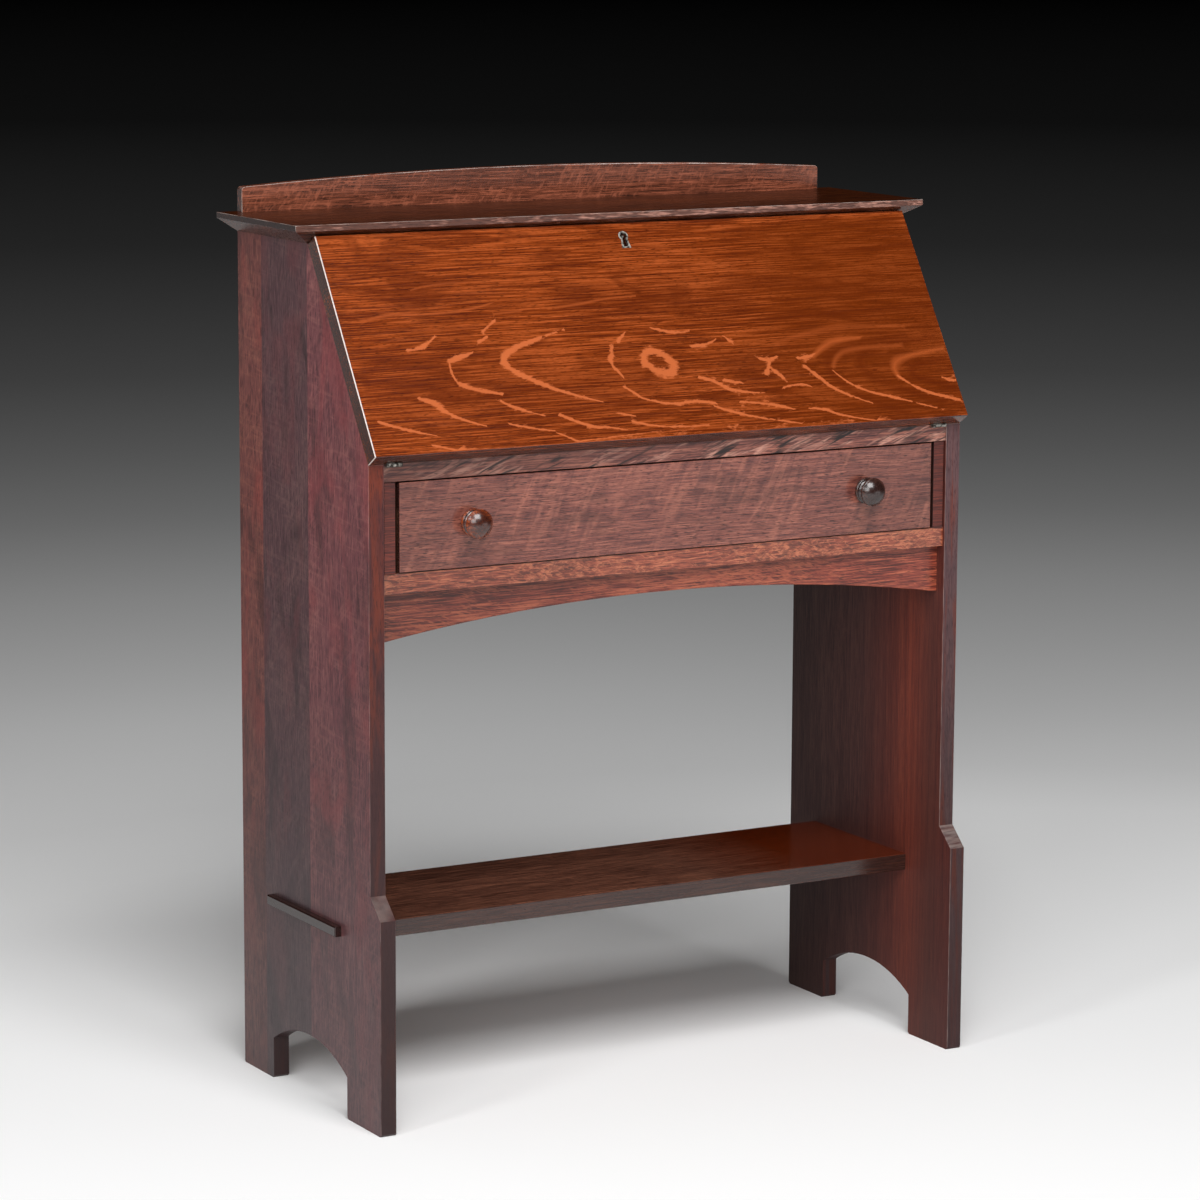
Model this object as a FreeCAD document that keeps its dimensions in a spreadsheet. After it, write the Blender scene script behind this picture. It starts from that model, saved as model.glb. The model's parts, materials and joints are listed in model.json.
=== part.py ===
import FreeCAD
import Part
import math
import os
import re

import Sketcher

# A drop-front writing desk in quarter-sawn oak. X runs along its width, -Y is its front and +Z is up.
# The origin is on the floor, in the middle of the desk. Lengths are millimetres, angles are degrees.
# The drop front is called the fall. It turns about the front arris of the writing bed, on two small
# hinges, and when it is down two pull-out supports beside the drawer carry it.

SIZES = {
    # Side panels
    "case_width": 762.0,
    "side_thickness": 19.0,
    "side_depth": 350.0,
    "front_setback": 24.5,
    "foot_front_width": 83.0,
    "foot_rear_width": 78.5,
    "foot_ease": 2.5,
    "arch_springing": 46.5,
    "arch_rise": 26.5,
    "shoulder_low": 241.5,
    "shoulder_high": 264.5,
    "case_height": 963.5,
    "writing_height": 737.5,
    "slope_angle": 32.75,
    "edge_rounding": 1.0,
    "fine_rounding": 0.6,
    # Top board and gallery rail
    "top_thickness": 22.0,
    "top_end_overhang": 25.3,
    "top_front_overhang": 23.3,
    "top_end_edge": 6.3,
    "gallery_thickness": 12.5,
    "gallery_end_height": 28.0,
    "gallery_rise": 12.3,
    "gallery_corner": 4.5,
    "top_cleat_width": 18.0,
    "top_cleat_inset": 20.0,
    # Fall
    "fall_thickness": 19.6,
    "fall_seat_gap": 0.3,
    "fall_bottom_gap": 0.5,
    "fall_top_gap": 1.2,
    # Writing bed and the drawer case under it
    "bed_thickness": 19.4,
    "bed_recess": 1.2,
    "housing_depth": 6.0,
    "housing_stop": 15.0,
    "drawer_opening_height": 100.9,
    "drawer_rail_height": 22.2,
    "drawer_rail_recess": 4.0,
    "drawer_rail_depth": 45.0,
    "rear_rail_depth": 20.0,
    "runner_width": 40.0,
    "runner_thickness": 20.0,
    "run_gap": 0.3,
    "apron_recess": 15.0,
    "apron_thickness": 18.0,
    "apron_end_height": 55.0,
    "apron_rise": 29.7,
    "apron_block_size": 22.0,
    "back_thickness": 8.0,
    "back_rabbet": 8.0,
    "back_board_gap": 0.6,
    "back_screw_spacing": 150.0,
    # Shelf near the floor
    "shelf_height": 217.0,
    "shelf_thickness": 19.5,
    "shelf_front": 94.0,
    "shelf_depth": 202.0,
    "tenon_front_shoulder": 2.0,
    "tenon_rear_shoulder": 26.0,
    "tenon_thickness": 11.5,
    "tenon_drop": 0.6,
    "tenon_projection": 8.0,
    "tenon_chamfer": 1.2,
    "tenon_fit": 0.1,
    # Pull-out supports and what guides them
    "loper_thickness": 13.6,
    "loper_side_gap": 1.2,
    "loper_recess": 2.8,
    "loper_top_gap": 0.5,
    "loper_rear_gap": 22.7,
    "loper_travel": 205.0,
    "guide_thickness": 3.0,
    "guide_gap": 0.6,
    "guide_drop": 30.9,
    "guide_setback": 12.0,
    "peg_radius": 3.0,
    "peg_inset": 15.0,
    "peg_seat": 8.0,
    "peg_rise": 10.0,
    "peg_fit": 0.04,
    "stop_block_length": 30.0,
    # Drawer
    "drawer_end_gap": 0.6,
    "drawer_recess": 1.9,
    "drawer_rear_gap": 19.6,
    "drawer_front_thickness": 19.0,
    "drawer_top_gap": 1.5,
    "drawer_bottom_gap": 1.2,
    "drawer_side_thickness": 11.0,
    "drawer_side_inset": 0.6,
    "drawer_side_top_gap": 6.0,
    "drawer_lap": 12.0,
    "drawer_back_thickness": 10.0,
    "drawer_back_top_gap": 12.0,
    "drawer_bottom_thickness": 5.0,
    "drawer_bottom_rise": 10.5,
    "drawer_groove": 5.0,
    "groove_fit": 0.2,
    "drawer_stop_width": 30.0,
    "drawer_stop_height": 22.0,
    "knob_spacing": 507.4,
    "knob_radius": 16.2,
    "knob_projection": 25.0,
    "knob_rim_height": 17.5,
    "knob_rim": 3.6,
    "knob_lip": 0.9,
    "knob_cove": 0.9,
    "knob_neck_radius": 10.5,
    "knob_neck_height": 7.0,
    "knob_neck_hollow": 0.5,
    "knob_flange_radius": 14.0,
    "knob_flange_height": 4.5,
    "knob_flange_bulge": 1.2,
    "knob_spigot_radius": 5.0,
    "knob_spigot_length": 14.0,
    "spigot_fit": 0.05,
    # Hinges
    "hinge_length": 19.0,
    "hinge_end_gap": 2.0,
    "leaf_width": 17.0,
    "leaf_thickness": 1.6,
    "leaf_fit": 0.05,
    "hinge_screw_spacing": 9.5,
    "knuckle_radius": 3.1,
    "knuckle_clearance": 0.4,
    "knuckle_gap": 0.3,
    "knuckle_end_gap": 0.3,
    "pin_radius": 1.2,
    "pin_clearance": 0.05,
    # Lock in the fall and its keeper in the top board
    "keyhole_drop": 16.8,
    "escutcheon_head": 6.0,
    "escutcheon_neck": 4.2,
    "escutcheon_foot": 5.8,
    "escutcheon_drop": 15.4,
    "escutcheon_depth": 2.0,
    "escutcheon_proud": 0.4,
    "escutcheon_rim": 1.9,
    "escutcheon_foot_rim": 2.8,
    "lock_half_width": 24.0,
    "lock_height": 38.0,
    "lock_depth": 11.0,
    "lock_plate": 1.6,
    "lock_wall": 1.5,
    "lock_ear": 6.0,
    "lock_fit": 0.2,
    "lock_screw_spacing": 19.0,
    "key_pin_radius": 1.3,
    "bolt_half_width": 9.0,
    "bolt_thickness": 5.0,
    "bolt_back": 3.4,
    "bolt_head": 9.0,
    "bolt_leg_width": 4.0,
    "bolt_leg_length": 14.0,
    "bolt_gap": 0.3,
    "bolt_travel": 7.0,
    "bolt_end_gap": 3.0,
    "keeper_half_width": 18.0,
    "keeper_height": 11.0,
    "keeper_offset": 1.0,
    # Pigeonholes behind the fall
    "pigeonhole_depth": 105.0,
    "pigeonhole_shelf_thickness": 9.0,
    "divider_thickness": 6.0,
    "divider_scoop": 14.0,
    # Wood screws with flat countersunk heads
    "screw_head_radius": 2.5,
    "screw_head_height": 1.5,
    "screw_shank_radius": 1.3,
    "screw_length": 10.0,
    "screw_slot": 0.7,
    "screw_fit": 0.05,
    "cleat_screw_length": 30.0,
    "back_screw_length": 16.0,
}

# Sizes and places that follow from the ones above, in the order in which they are needed.
DERIVED = {
    "half_width": "case_width / 2",
    "inner_half": "half_width - side_thickness",
    "toe_y": "-side_depth / 2",
    "rear_y": "side_depth / 2",
    "front_y": "toe_y + front_setback",
    "slope_run": "(case_height - writing_height) * tan(slope_angle)",
    "slope_length": "(case_height - writing_height) / cos(slope_angle)",
    "slope_top_y": "front_y + slope_run",
    "fall_turn": "90 - slope_angle",
    "fall_top": "slope_length - fall_top_gap",
    "top_front_y": "slope_top_y - top_front_overhang",
    "top_half_width": "half_width + top_end_overhang",
    "top_surface": "case_height + top_thickness",
    "gallery_end_top": "top_surface + gallery_end_height",
    "quarter_rise": "gallery_corner * (1 - sqrt(0.5))",
    "bed_bottom": "writing_height - bed_thickness",
    "runner_top": "bed_bottom - drawer_opening_height",
    "rail_bottom": "runner_top - drawer_rail_height",
    "rail_front_y": "front_y + drawer_rail_recess",
    "rail_back_y": "rail_front_y + drawer_rail_depth",
    "back_front_y": "rear_y - back_thickness",
    "rear_rail_y": "back_front_y - rear_rail_depth",
    "back_half_width": "inner_half + back_rabbet",
    "back_board_width": "(2 * back_half_width - 2 * back_board_gap) / 3",
    "back_board_pitch": "back_board_width + back_board_gap",
    "apron_y": "front_y + apron_recess",
    "shelf_y": "toe_y + shelf_front",
    "tenon_y": "shelf_y + tenon_front_shoulder",
    "tenon_end_y": "shelf_y + shelf_depth - tenon_rear_shoulder",
    "tenon_top": "shelf_height - tenon_drop",
    "tenon_bottom": "tenon_top - tenon_thickness",
    "tenon_half_width": "half_width + tenon_projection",
    "loper_outer": "inner_half - loper_side_gap",
    "loper_inner": "loper_outer - loper_thickness",
    "loper_y": "front_y + loper_recess",
    "loper_rear_y": "back_front_y - loper_rear_gap",
    "loper_top": "min(bed_bottom - loper_top_gap; writing_height - fall_thickness - run_gap)",
    "guide_outer": "loper_inner - guide_gap",
    "guide_inner": "guide_outer - guide_thickness",
    "guide_top": "bed_bottom - guide_drop",
    "peg_y": "loper_rear_y - peg_inset",
    "peg_z": "guide_top + peg_rise",
    "stop_block_rear_y": "peg_y - loper_travel - peg_radius - run_gap",
    "drawer_half": "guide_inner - drawer_end_gap",
    "drawer_y": "front_y + drawer_recess",
    "drawer_rear_y": "back_front_y - drawer_rear_gap",
    "drawer_front_back_y": "drawer_y + drawer_front_thickness",
    "drawer_front_bottom": "runner_top + drawer_bottom_gap",
    "drawer_front_top": "bed_bottom - drawer_top_gap",
    "drawer_side_outer": "drawer_half - drawer_side_inset",
    "drawer_side_inner": "drawer_side_outer - drawer_side_thickness",
    "drawer_side_bottom": "runner_top + run_gap",
    "drawer_side_top": "bed_bottom - drawer_side_top_gap",
    "drawer_side_y": "drawer_front_back_y - drawer_lap",
    "drawer_floor": "drawer_side_bottom + drawer_bottom_rise",
    "drawer_floor_top": "drawer_floor + drawer_bottom_thickness",
    "groove_top": "drawer_floor_top + groove_fit",
    "knob_z": "(drawer_front_bottom + drawer_front_top) / 2",
    "knob_face_radius": "knob_radius - knob_lip",
    "knob_dome": "knob_projection - knob_rim_height",
    "knob_dome_chord": "sqrt(knob_face_radius^2 + knob_dome^2)",
    "knob_dome_radius": "knob_dome_chord^2 / (2 * knob_dome)",
    "knob_dome_rise": "knob_dome_radius - sqrt(knob_dome_radius^2 - knob_dome_chord^2 / 4)",
    "hinge_end": "inner_half - hinge_end_gap",
    "hinge_start": "hinge_end - hinge_length",
    "hinge_middle": "(hinge_start + hinge_end) / 2",
    "notch_radius": "knuckle_radius + knuckle_clearance",
    "knuckle_length": "(hinge_length - 2 * knuckle_gap) / 3",
    "keyhole_y": "fall_top - keyhole_drop",
    "lock_low": "fall_top - lock_height",
    "selvedge_low": "fall_top - lock_plate",
    "lock_box": "lock_half_width - lock_ear",
    "bolt_low": "bolt_back",
    "bolt_high": "bolt_back + bolt_thickness",
    "bolt_top": "fall_top - bolt_gap",
    "bolt_shoulder": "bolt_top - bolt_head",
    "bolt_foot": "bolt_shoulder - bolt_leg_length",
    "keeper_low": "keeper_offset",
    "keeper_high": "keeper_offset + keeper_height",
    "pigeonhole_y": "back_front_y - pigeonhole_depth",
    "pigeonhole_top": "(writing_height + case_height) / 2",
    "cleat_bottom": "case_height - top_cleat_width",
}

# How a sketch numbers the points of a line, an arc or a circle.
FIRST_POINT = 1
LAST_POINT = 2
CENTRE_POINT = 3

doc = FreeCAD.newDocument("drop_front_desk")
sheet = doc.addObject("Spreadsheet::Sheet", "sizes")
nodes = {}


def fill_sheet():
    """Writes the driving sizes and the derived ones into the sheet, each with its alias."""
    cells = {name: str(number) for name, number in SIZES.items()}
    cells.update({name: "=" + formula for name, formula in DERIVED.items()})
    for row, (name, content) in enumerate(cells.items(), start=1):
        sheet.set("A%d" % row, name.replace("_", " "))
        sheet.set("B%d" % row, content)
        sheet.setAlias("B%d" % row, name)
    doc.recompute()


def bound(formula):
    """The formula with each size named as a cell of the sheet, for use in another object."""
    def qualify(match):
        word = match.group()
        return "sizes." + word if word in SIZES or word in DERIVED else word
    return re.sub(r"[a-z]\w*", qualify, formula)


def value(formula):
    """The number that a formula of sizes gives now."""
    return float(sheet.evalExpression(formula))


def new_body(label):
    made = doc.addObject("PartDesign::Body", label)
    made.Label = label
    return made


def place(made, x="0", y="0", z="0", turn="0"):
    """Moves a piece to a point and turns it about X."""
    made.Placement = FreeCAD.Placement(FreeCAD.Vector(), FreeCAD.Rotation(FreeCAD.Vector(1, 0, 0), 1))
    made.setExpression("Placement.Rotation.Angle", bound(turn))
    for axis, formula in (("x", x), ("y", y), ("z", z)):
        made.setExpression("Placement.Base." + axis, bound(formula))
    return made


def place_on_fall(made, x="0", along="0", out="0", turn="0"):
    """Places a piece by the fall's own measures: along its slope from the hinge axis, and out from its back."""
    return place(
        made,
        x,
        "front_y + (%s) * sin(slope_angle) - (%s) * cos(slope_angle)" % (along, out),
        "writing_height + (%s) * cos(slope_angle) + (%s) * sin(slope_angle)" % (along, out),
        "fall_turn + (%s)" % turn,
    )


def sketch_on(made, plane, offset):
    """An empty sketch on a plane of the body's own origin, moved along the plane's normal."""
    sketch = made.newObject("Sketcher::SketchObject", made.Name + "_sketch")
    support = [feature for feature in made.Origin.OriginFeatures if feature.Role == plane + "_Plane"]
    sketch.AttachmentSupport = [(support[0], "")]
    sketch.MapMode = "FlatFace"
    sketch.setExpression("AttachmentOffset.Base.z", bound(offset))
    return sketch


def bind(sketch, kind, geometry, point, formula):
    """Ties one coordinate of a sketch point, or a radius, to the sheet."""
    now = value(formula)
    if kind == "Radius":
        constraint = Sketcher.Constraint(kind, geometry, now)
    else:
        constraint = Sketcher.Constraint(kind, -1, 1, geometry, point, now)
    index = sketch.addConstraint(constraint)
    sketch.setExpression("Constraints[%d]" % index, bound(formula))


def draw(sketch, outline):
    """Draws a closed outline of corners. A corner with a third formula ends an arc of that rise.

    A positive rise bulges to the left of the way from the corner before, a negative one to the right. Such
    an arc to the left runs clockwise, and the sketch keeps its points the other way round.
    """
    corners = [FreeCAD.Vector(value(corner[0]), value(corner[1]), 0) for corner in outline]
    count = len(outline)
    ends = []
    for index in range(count):
        start = corners[index - 1]
        end = corners[index]
        if len(outline[index]) == 2:
            sketch.addGeometry(Part.LineSegment(start, end), False)
            ends.append((FIRST_POINT, LAST_POINT))
            continue
        rise = value(outline[index][2])
        left = FreeCAD.Vector(start.y - end.y, end.x - start.x, 0).normalize()
        middle = (start + end) * 0.5 + left * rise
        sketch.addGeometry(Part.Arc(start, middle, end), False)
        ends.append((LAST_POINT, FIRST_POINT) if rise > 0 else (FIRST_POINT, LAST_POINT))
    for index in range(count):
        follower = (index + 1) % count
        joint = Sketcher.Constraint("Coincident", index, ends[index][1], follower, ends[follower][0])
        sketch.addConstraint(joint)
    for index, corner in enumerate(outline):
        bind(sketch, "DistanceX", index, ends[index][1], corner[0])
        bind(sketch, "DistanceY", index, ends[index][1], corner[1])
        if len(corner) == 3:
            before = outline[index - 1]
            chord = "((%s) - (%s))^2 + ((%s) - (%s))^2" % (corner[0], before[0], corner[1], before[1])
            radius = "(%s) / (8 * abs(%s)) + abs(%s) / 2" % (chord, corner[2], corner[2])
            bind(sketch, "Radius", index, 0, radius)


def draw_circle(sketch, across, up, radius):
    centre = FreeCAD.Vector(value(across), value(up), 0)
    sketch.addGeometry(Part.Circle(centre, FreeCAD.Vector(0, 0, 1), value(radius)), False)
    bind(sketch, "DistanceX", 0, CENTRE_POINT, across)
    bind(sketch, "DistanceY", 0, CENTRE_POINT, up)
    bind(sketch, "Radius", 0, 0, radius)


def extrude(made, kind, plane, shape, low, high):
    """Adds or cuts a prism between two heights along the plane's axis. The XZ plane faces -Y."""
    ends = (low, high) if plane != "XZ" else ("-(%s)" % high, "-(%s)" % low)
    start = ends[0] if kind == "Pad" else ends[1]
    sketch = sketch_on(made, plane, start)
    if isinstance(shape, tuple):
        draw_circle(sketch, *shape)
    else:
        draw(sketch, shape)
    feature = made.newObject("PartDesign::" + kind, made.Name + "_" + kind.lower())
    feature.Profile = sketch
    feature.setExpression("Length", bound("(%s) - (%s)" % (high, low)))
    made.Tip = feature
    return made


def add(made, plane, shape, low, high):
    return extrude(made, "Pad", plane, shape, low, high)


def cut(made, plane, shape, low, high):
    doc.recompute()
    before = made.Shape.Volume
    extrude(made, "Pocket", plane, shape, low, high)
    doc.recompute()
    if made.Shape.Volume >= before:
        raise RuntimeError("a cut removes nothing from " + made.Label)
    return made


def box(u_low, v_low, u_high, v_high):
    """The four corners of a rectangle."""
    return [(u_low, v_low), (u_high, v_low), (u_high, v_high), (u_low, v_high)]


def turned(label, outline):
    """A turned piece about its own Z axis, from a half outline of radius and height."""
    made = new_body(label)
    sketch = sketch_on(made, "XZ", "0")
    draw(sketch, outline)
    feature = made.newObject("PartDesign::Revolution", label + "_turning")
    feature.Profile = sketch
    feature.ReferenceAxis = (sketch, ["V_Axis"])
    feature.Angle = 360
    made.Tip = feature
    return made


def dress(made, kind, size, chosen):
    """Rounds or chamfers the edges that the test accepts."""
    doc.recompute()
    base = made.Tip
    names = ["Edge%d" % number for number, edge in enumerate(base.Shape.Edges, start=1) if chosen(edge)]
    if not names:
        raise RuntimeError("no edge to dress on " + made.Label)
    feature = made.newObject("PartDesign::" + kind, made.Name + "_" + kind.lower())
    feature.Base = (base, names)
    feature.setExpression("Size" if kind == "Chamfer" else "Radius", bound(size))
    made.Tip = feature
    return made


def near(number, formula):
    return math.isclose(number, value(formula), abs_tol=TOLERANCE)


def lies_at(edge, axis, formula):
    """True where the whole edge lies in the plane at that place of an axis."""
    limits = edge.BoundBox
    low = getattr(limits, axis + "Min")
    high = getattr(limits, axis + "Max")
    return near(low, formula) and near(high, formula)


def keep(label, made):
    made.Label = label
    nodes[label] = made
    return made


def board(label, x_low, x_high, y_low, y_high, z_low, z_high):
    """A plain board, laid between six faces."""
    made = add(new_body(label), "XY", box(x_low, y_low, x_high, y_high), z_low, z_high)
    return keep(label, made)


def subtract(label, blank, tools):
    """The blank with the tool pieces cut out of it, kept as a sub-part."""
    blank.Label = label + "_blank"
    group = doc.addObject("Part::Compound", label + "_tools")
    group.Links = tools
    made = doc.addObject("Part::Cut", label)
    made.Base = blank
    made.Tool = group
    return keep(label, made)


def mirrored(side, low, high):
    """The span of a piece at the left (-1) or right (1) of the desk, given its span at the right."""
    return (low, high) if side > 0 else ("-(%s)" % high, "-(%s)" % low)


SIDES = (("left", -1), ("right", 1))
BACK_BOARDS = 3
CLEAT_SCREWS = 3
DIVIDERS = 4
BED_EDGE = "(bed_bottom + writing_height) / 2"
RAIL_EDGE = "(rail_bottom + runner_top) / 2"
TOLERANCE = 0.001


def side_panels():
    """Slab sides: arched feet, a shoulder, a straight front and the slope that the fall lies on."""
    outline = [
        ("toe_y", "foot_ease"),
        ("toe_y + foot_ease", "0"),
        ("toe_y + foot_front_width - foot_ease", "0"),
        ("toe_y + foot_front_width", "foot_ease"),
        ("toe_y + foot_front_width", "arch_springing"),
        ("rear_y - foot_rear_width", "arch_springing", "arch_rise"),
        ("rear_y - foot_rear_width", "foot_ease"),
        ("rear_y - foot_rear_width + foot_ease", "0"),
        ("rear_y - foot_ease", "0"),
        ("rear_y", "foot_ease"),
        ("rear_y", "case_height"),
        ("slope_top_y + fall_seat_gap / cos(slope_angle)", "case_height"),
        ("front_y", "writing_height - fall_seat_gap / sin(slope_angle)"),
        ("front_y", "shoulder_high"),
        ("toe_y", "shoulder_low"),
    ]
    mortise = box("tenon_y - tenon_fit", "tenon_bottom - tenon_fit",
                  "tenon_end_y + tenon_fit", "tenon_top + tenon_fit")
    housing = box("front_y + housing_stop", "bed_bottom", "back_front_y", "writing_height")
    rabbet = box("back_front_y", "rail_bottom", "rear_y", "case_height")
    for name, side in SIDES:
        made = add(new_body("side_panel_" + name), "YZ", outline, *mirrored(side, "inner_half", "half_width"))
        outer = "%d * half_width" % side
        inner = "%d * inner_half" % side

        def front_or_arch(edge):
            middle = edge.CenterOfMass
            in_face = lies_at(edge, "X", outer) or lies_at(edge, "X", inner)
            on_front = middle.y < value("front_y") + TOLERANCE and middle.z > value("foot_ease")
            on_arch = edge.Curve.TypeId == "Part::GeomCircle"
            on_rear = lies_at(edge, "X", outer) and lies_at(edge, "Y", "rear_y")
            return in_face and (on_front or on_arch or on_rear)

        dress(made, "Fillet", "edge_rounding", front_or_arch)
        cut(made, "YZ", mortise, *mirrored(side, "inner_half", "half_width"))
        cut(made, "YZ", housing, *mirrored(side, "inner_half", "inner_half + housing_depth"))
        cut(made, "YZ", rabbet, *mirrored(side, "inner_half", "back_half_width"))
        keep("side_panel_" + name, made)


def top_board():
    """The top, bevelled from below at its ends and along its front, where the fall's top edge lies."""
    made = add(new_body("top_board"), "XY", box("-top_half_width", "top_front_y", "top_half_width", "rear_y"),
               "case_height", "top_surface")
    bevel_top = "case_height + top_front_overhang * tan(slope_angle)"
    front_bevel = [("slope_top_y", "case_height"), ("top_front_y", bevel_top), ("top_front_y", "case_height")]
    cut(made, "YZ", front_bevel, "-top_half_width", "top_half_width")
    for side in (-1, 1):
        end_bevel = [
            ("%d * half_width" % side, "case_height"),
            ("%d * top_half_width" % side, "case_height"),
            ("%d * top_half_width" % side, "top_surface - top_end_edge"),
        ]
        cut(made, "XZ", end_bevel, "top_front_y", "rear_y")

    def upper_arris(edge):
        raised = edge.BoundBox.ZMin > value("case_height") + TOLERANCE
        return raised and not lies_at(edge, "Y", "rear_y")

    dress(made, "Fillet", "edge_rounding", upper_arris)
    recess = new_body("keeper_recess")
    add(recess, "XZ", box("-keeper_half_width - leaf_fit", "keeper_low - leaf_fit",
                          "keeper_half_width + leaf_fit", "keeper_high + leaf_fit"),
        "fall_top", "slope_length + lock_plate")
    add(recess, "XZ", bolt_way(), "fall_top", "bolt_top + bolt_travel + bolt_end_gap")
    place_on_fall(recess)
    holes = keeper_screws("keeper_hole", hole=True)
    for name, side in SIDES:
        holes += cleat_screws("cleat_hole_" + name, side, hole=True)
    subtract("top_board", made, [recess] + holes)


def gallery_rail():
    """The low arched rail along the back of the top."""
    outline = [
        ("-half_width", "top_surface"),
        ("half_width", "top_surface"),
        ("half_width", "gallery_end_top - gallery_corner"),
        ("half_width - gallery_corner", "gallery_end_top", "-quarter_rise"),
        ("gallery_corner - half_width", "gallery_end_top", "-gallery_rise"),
        ("-half_width", "gallery_end_top - gallery_corner", "-quarter_rise"),
    ]
    made = add(new_body("gallery_rail"), "XZ", outline, "rear_y - gallery_thickness", "rear_y")

    def upper_edge(edge):
        in_face = lies_at(edge, "Y", "rear_y") or lies_at(edge, "Y", "rear_y - gallery_thickness")
        return in_face and not lies_at(edge, "Z", "top_surface")

    keep("gallery_rail", dress(made, "Fillet", "edge_rounding", upper_edge))


def screw(label, length, grow="0"):
    """A countersunk wood screw, head up, its top at its own origin; grown, it is the hole for one."""
    return turned(label, [
        ("0", "0"),
        ("screw_head_radius + " + grow, "0"),
        ("screw_shank_radius + " + grow, "-screw_head_height"),
        ("screw_shank_radius + " + grow, "-(%s) - (%s)" % (length, grow)),
        ("0", "-(%s) - (%s)" % (length, grow)),
    ])


def screw_or_hole(label, length, hole):
    if hole:
        return screw(label, length, "screw_fit")
    slot = box("-screw_head_radius", "-screw_slot / 2", "screw_head_radius", "screw_slot / 2")
    return cut(screw(label, length), "XY", slot, "-screw_slot", "0")


def screw_group(label, screws):
    group = doc.addObject("Part::Compound", label)
    group.Links = screws
    return keep(label, group)


def cleat_screws(label, side, hole=False):
    """Three screws up through one cleat into the top."""
    made = []
    run = "(back_front_y - slope_top_y - top_cleat_inset)"
    for number in range(1, CLEAT_SCREWS + 1):
        piece = screw_or_hole("%s_%d" % (label, number), "cleat_screw_length", hole)
        along = "slope_top_y + top_cleat_inset + %s * %d / %d" % (run, number, CLEAT_SCREWS + 1)
        across = "%d * (inner_half - top_cleat_width / 2)" % side
        made.append(place(piece, across, along, "cleat_bottom", "180"))
    return made


def keeper_screws(label, hole=False):
    """A screw at each side of the keeper's slot."""
    made = []
    for name, side in SIDES:
        piece = screw_or_hole("%s_%s" % (label, name), "screw_length", hole)
        across = "%d * (keeper_half_width + bolt_half_width) / 2" % side
        made.append(place_on_fall(piece, across, "slope_length", "(keeper_low + keeper_high) / 2", "90"))
    return made


def back_screws(label, height, board_number, hole=False):
    """Two screws at one height of one back board."""
    made = []
    middle = "back_board_pitch * (%d - (%d - 1) / 2)" % (board_number, BACK_BOARDS)
    for name, side in SIDES:
        piece = screw_or_hole("%s_%s" % (label, name), "back_screw_length", hole)
        across = "%s + %d * back_screw_spacing / 2" % (middle, side)
        made.append(place(piece, across, "rear_y", height, "-90"))
    return made


def back_row(label, height, hole=False):
    made = []
    for number in range(BACK_BOARDS):
        made += back_screws("%s_%d" % (label, number), height, number, hole)
    return made


def hinge_screws(label, side, on_fall, hole=False):
    """Two screws in one hinge leaf, in the bed or in the fall."""
    made = []
    along = "(leaf_width + knuckle_radius) / 2"
    for name, half in SIDES:
        piece = screw_or_hole("%s_%s" % (label, name), "screw_length", hole)
        across = "%d * hinge_middle + %d * hinge_screw_spacing / 2" % (side, half)
        if on_fall:
            place_on_fall(piece, across, along, "0", "180")
        else:
            place(piece, across, "front_y + " + along, "writing_height")
        made.append(piece)
    return made


def lock_screws(label, hole=False):
    """Two screws in each ear of the lock's plate."""
    made = []
    for name, side in SIDES:
        across = "%d * (lock_half_width - lock_ear / 2)" % side
        for row, half in (("low", -1), ("high", 1)):
            piece = screw_or_hole("%s_%s_%s" % (label, name, row), "screw_length", hole)
            along = "lock_low + lock_height / 2 + %d * lock_screw_spacing / 2" % half
            made.append(place_on_fall(piece, across, along, "0", "180"))
    return made


def bolt_way():
    """The outline of the hole that the lock's bolt slides through."""
    return box("-bolt_half_width - bolt_gap", "bolt_low - bolt_gap",
               "bolt_half_width + bolt_gap", "bolt_high + bolt_gap")


def knuckle_span(side):
    return mirrored(side, "hinge_start - knuckle_end_gap", "hinge_end + knuckle_end_gap")


def leaf_span(side):
    return mirrored(side, "hinge_start - leaf_fit", "hinge_end + leaf_fit")


def writing_bed():
    """The bed: housed in the sides behind its stopped ends, with its hinge leaves let in flush."""
    outline = [
        ("-inner_half", "front_y + bed_recess"),
        ("inner_half", "front_y + bed_recess"),
        ("inner_half", "front_y + housing_stop"),
        ("inner_half + housing_depth", "front_y + housing_stop"),
        ("inner_half + housing_depth", "back_front_y"),
        ("-inner_half - housing_depth", "back_front_y"),
        ("-inner_half - housing_depth", "front_y + housing_stop"),
        ("-inner_half", "front_y + housing_stop"),
    ]
    made = add(new_body("writing_bed"), "XY", outline, "bed_bottom", "writing_height")
    dress(made, "Fillet", "fine_rounding",
          lambda edge: lies_at(edge, "Y", "front_y + bed_recess") and lies_at(edge, "Z", "bed_bottom"))
    leaf = box("front_y", "writing_height - leaf_thickness",
               "front_y + leaf_width + leaf_fit", "writing_height")
    holes = back_row("bed_back_hole", BED_EDGE, hole=True)
    for name, side in SIDES:
        cut(made, "YZ", ("front_y", "writing_height", "notch_radius"), *knuckle_span(side))
        cut(made, "YZ", leaf, *leaf_span(side))
        holes += hinge_screws("bed_hinge_hole_" + name, side, on_fall=False, hole=True)
    subtract("writing_bed", made, holes)


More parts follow.
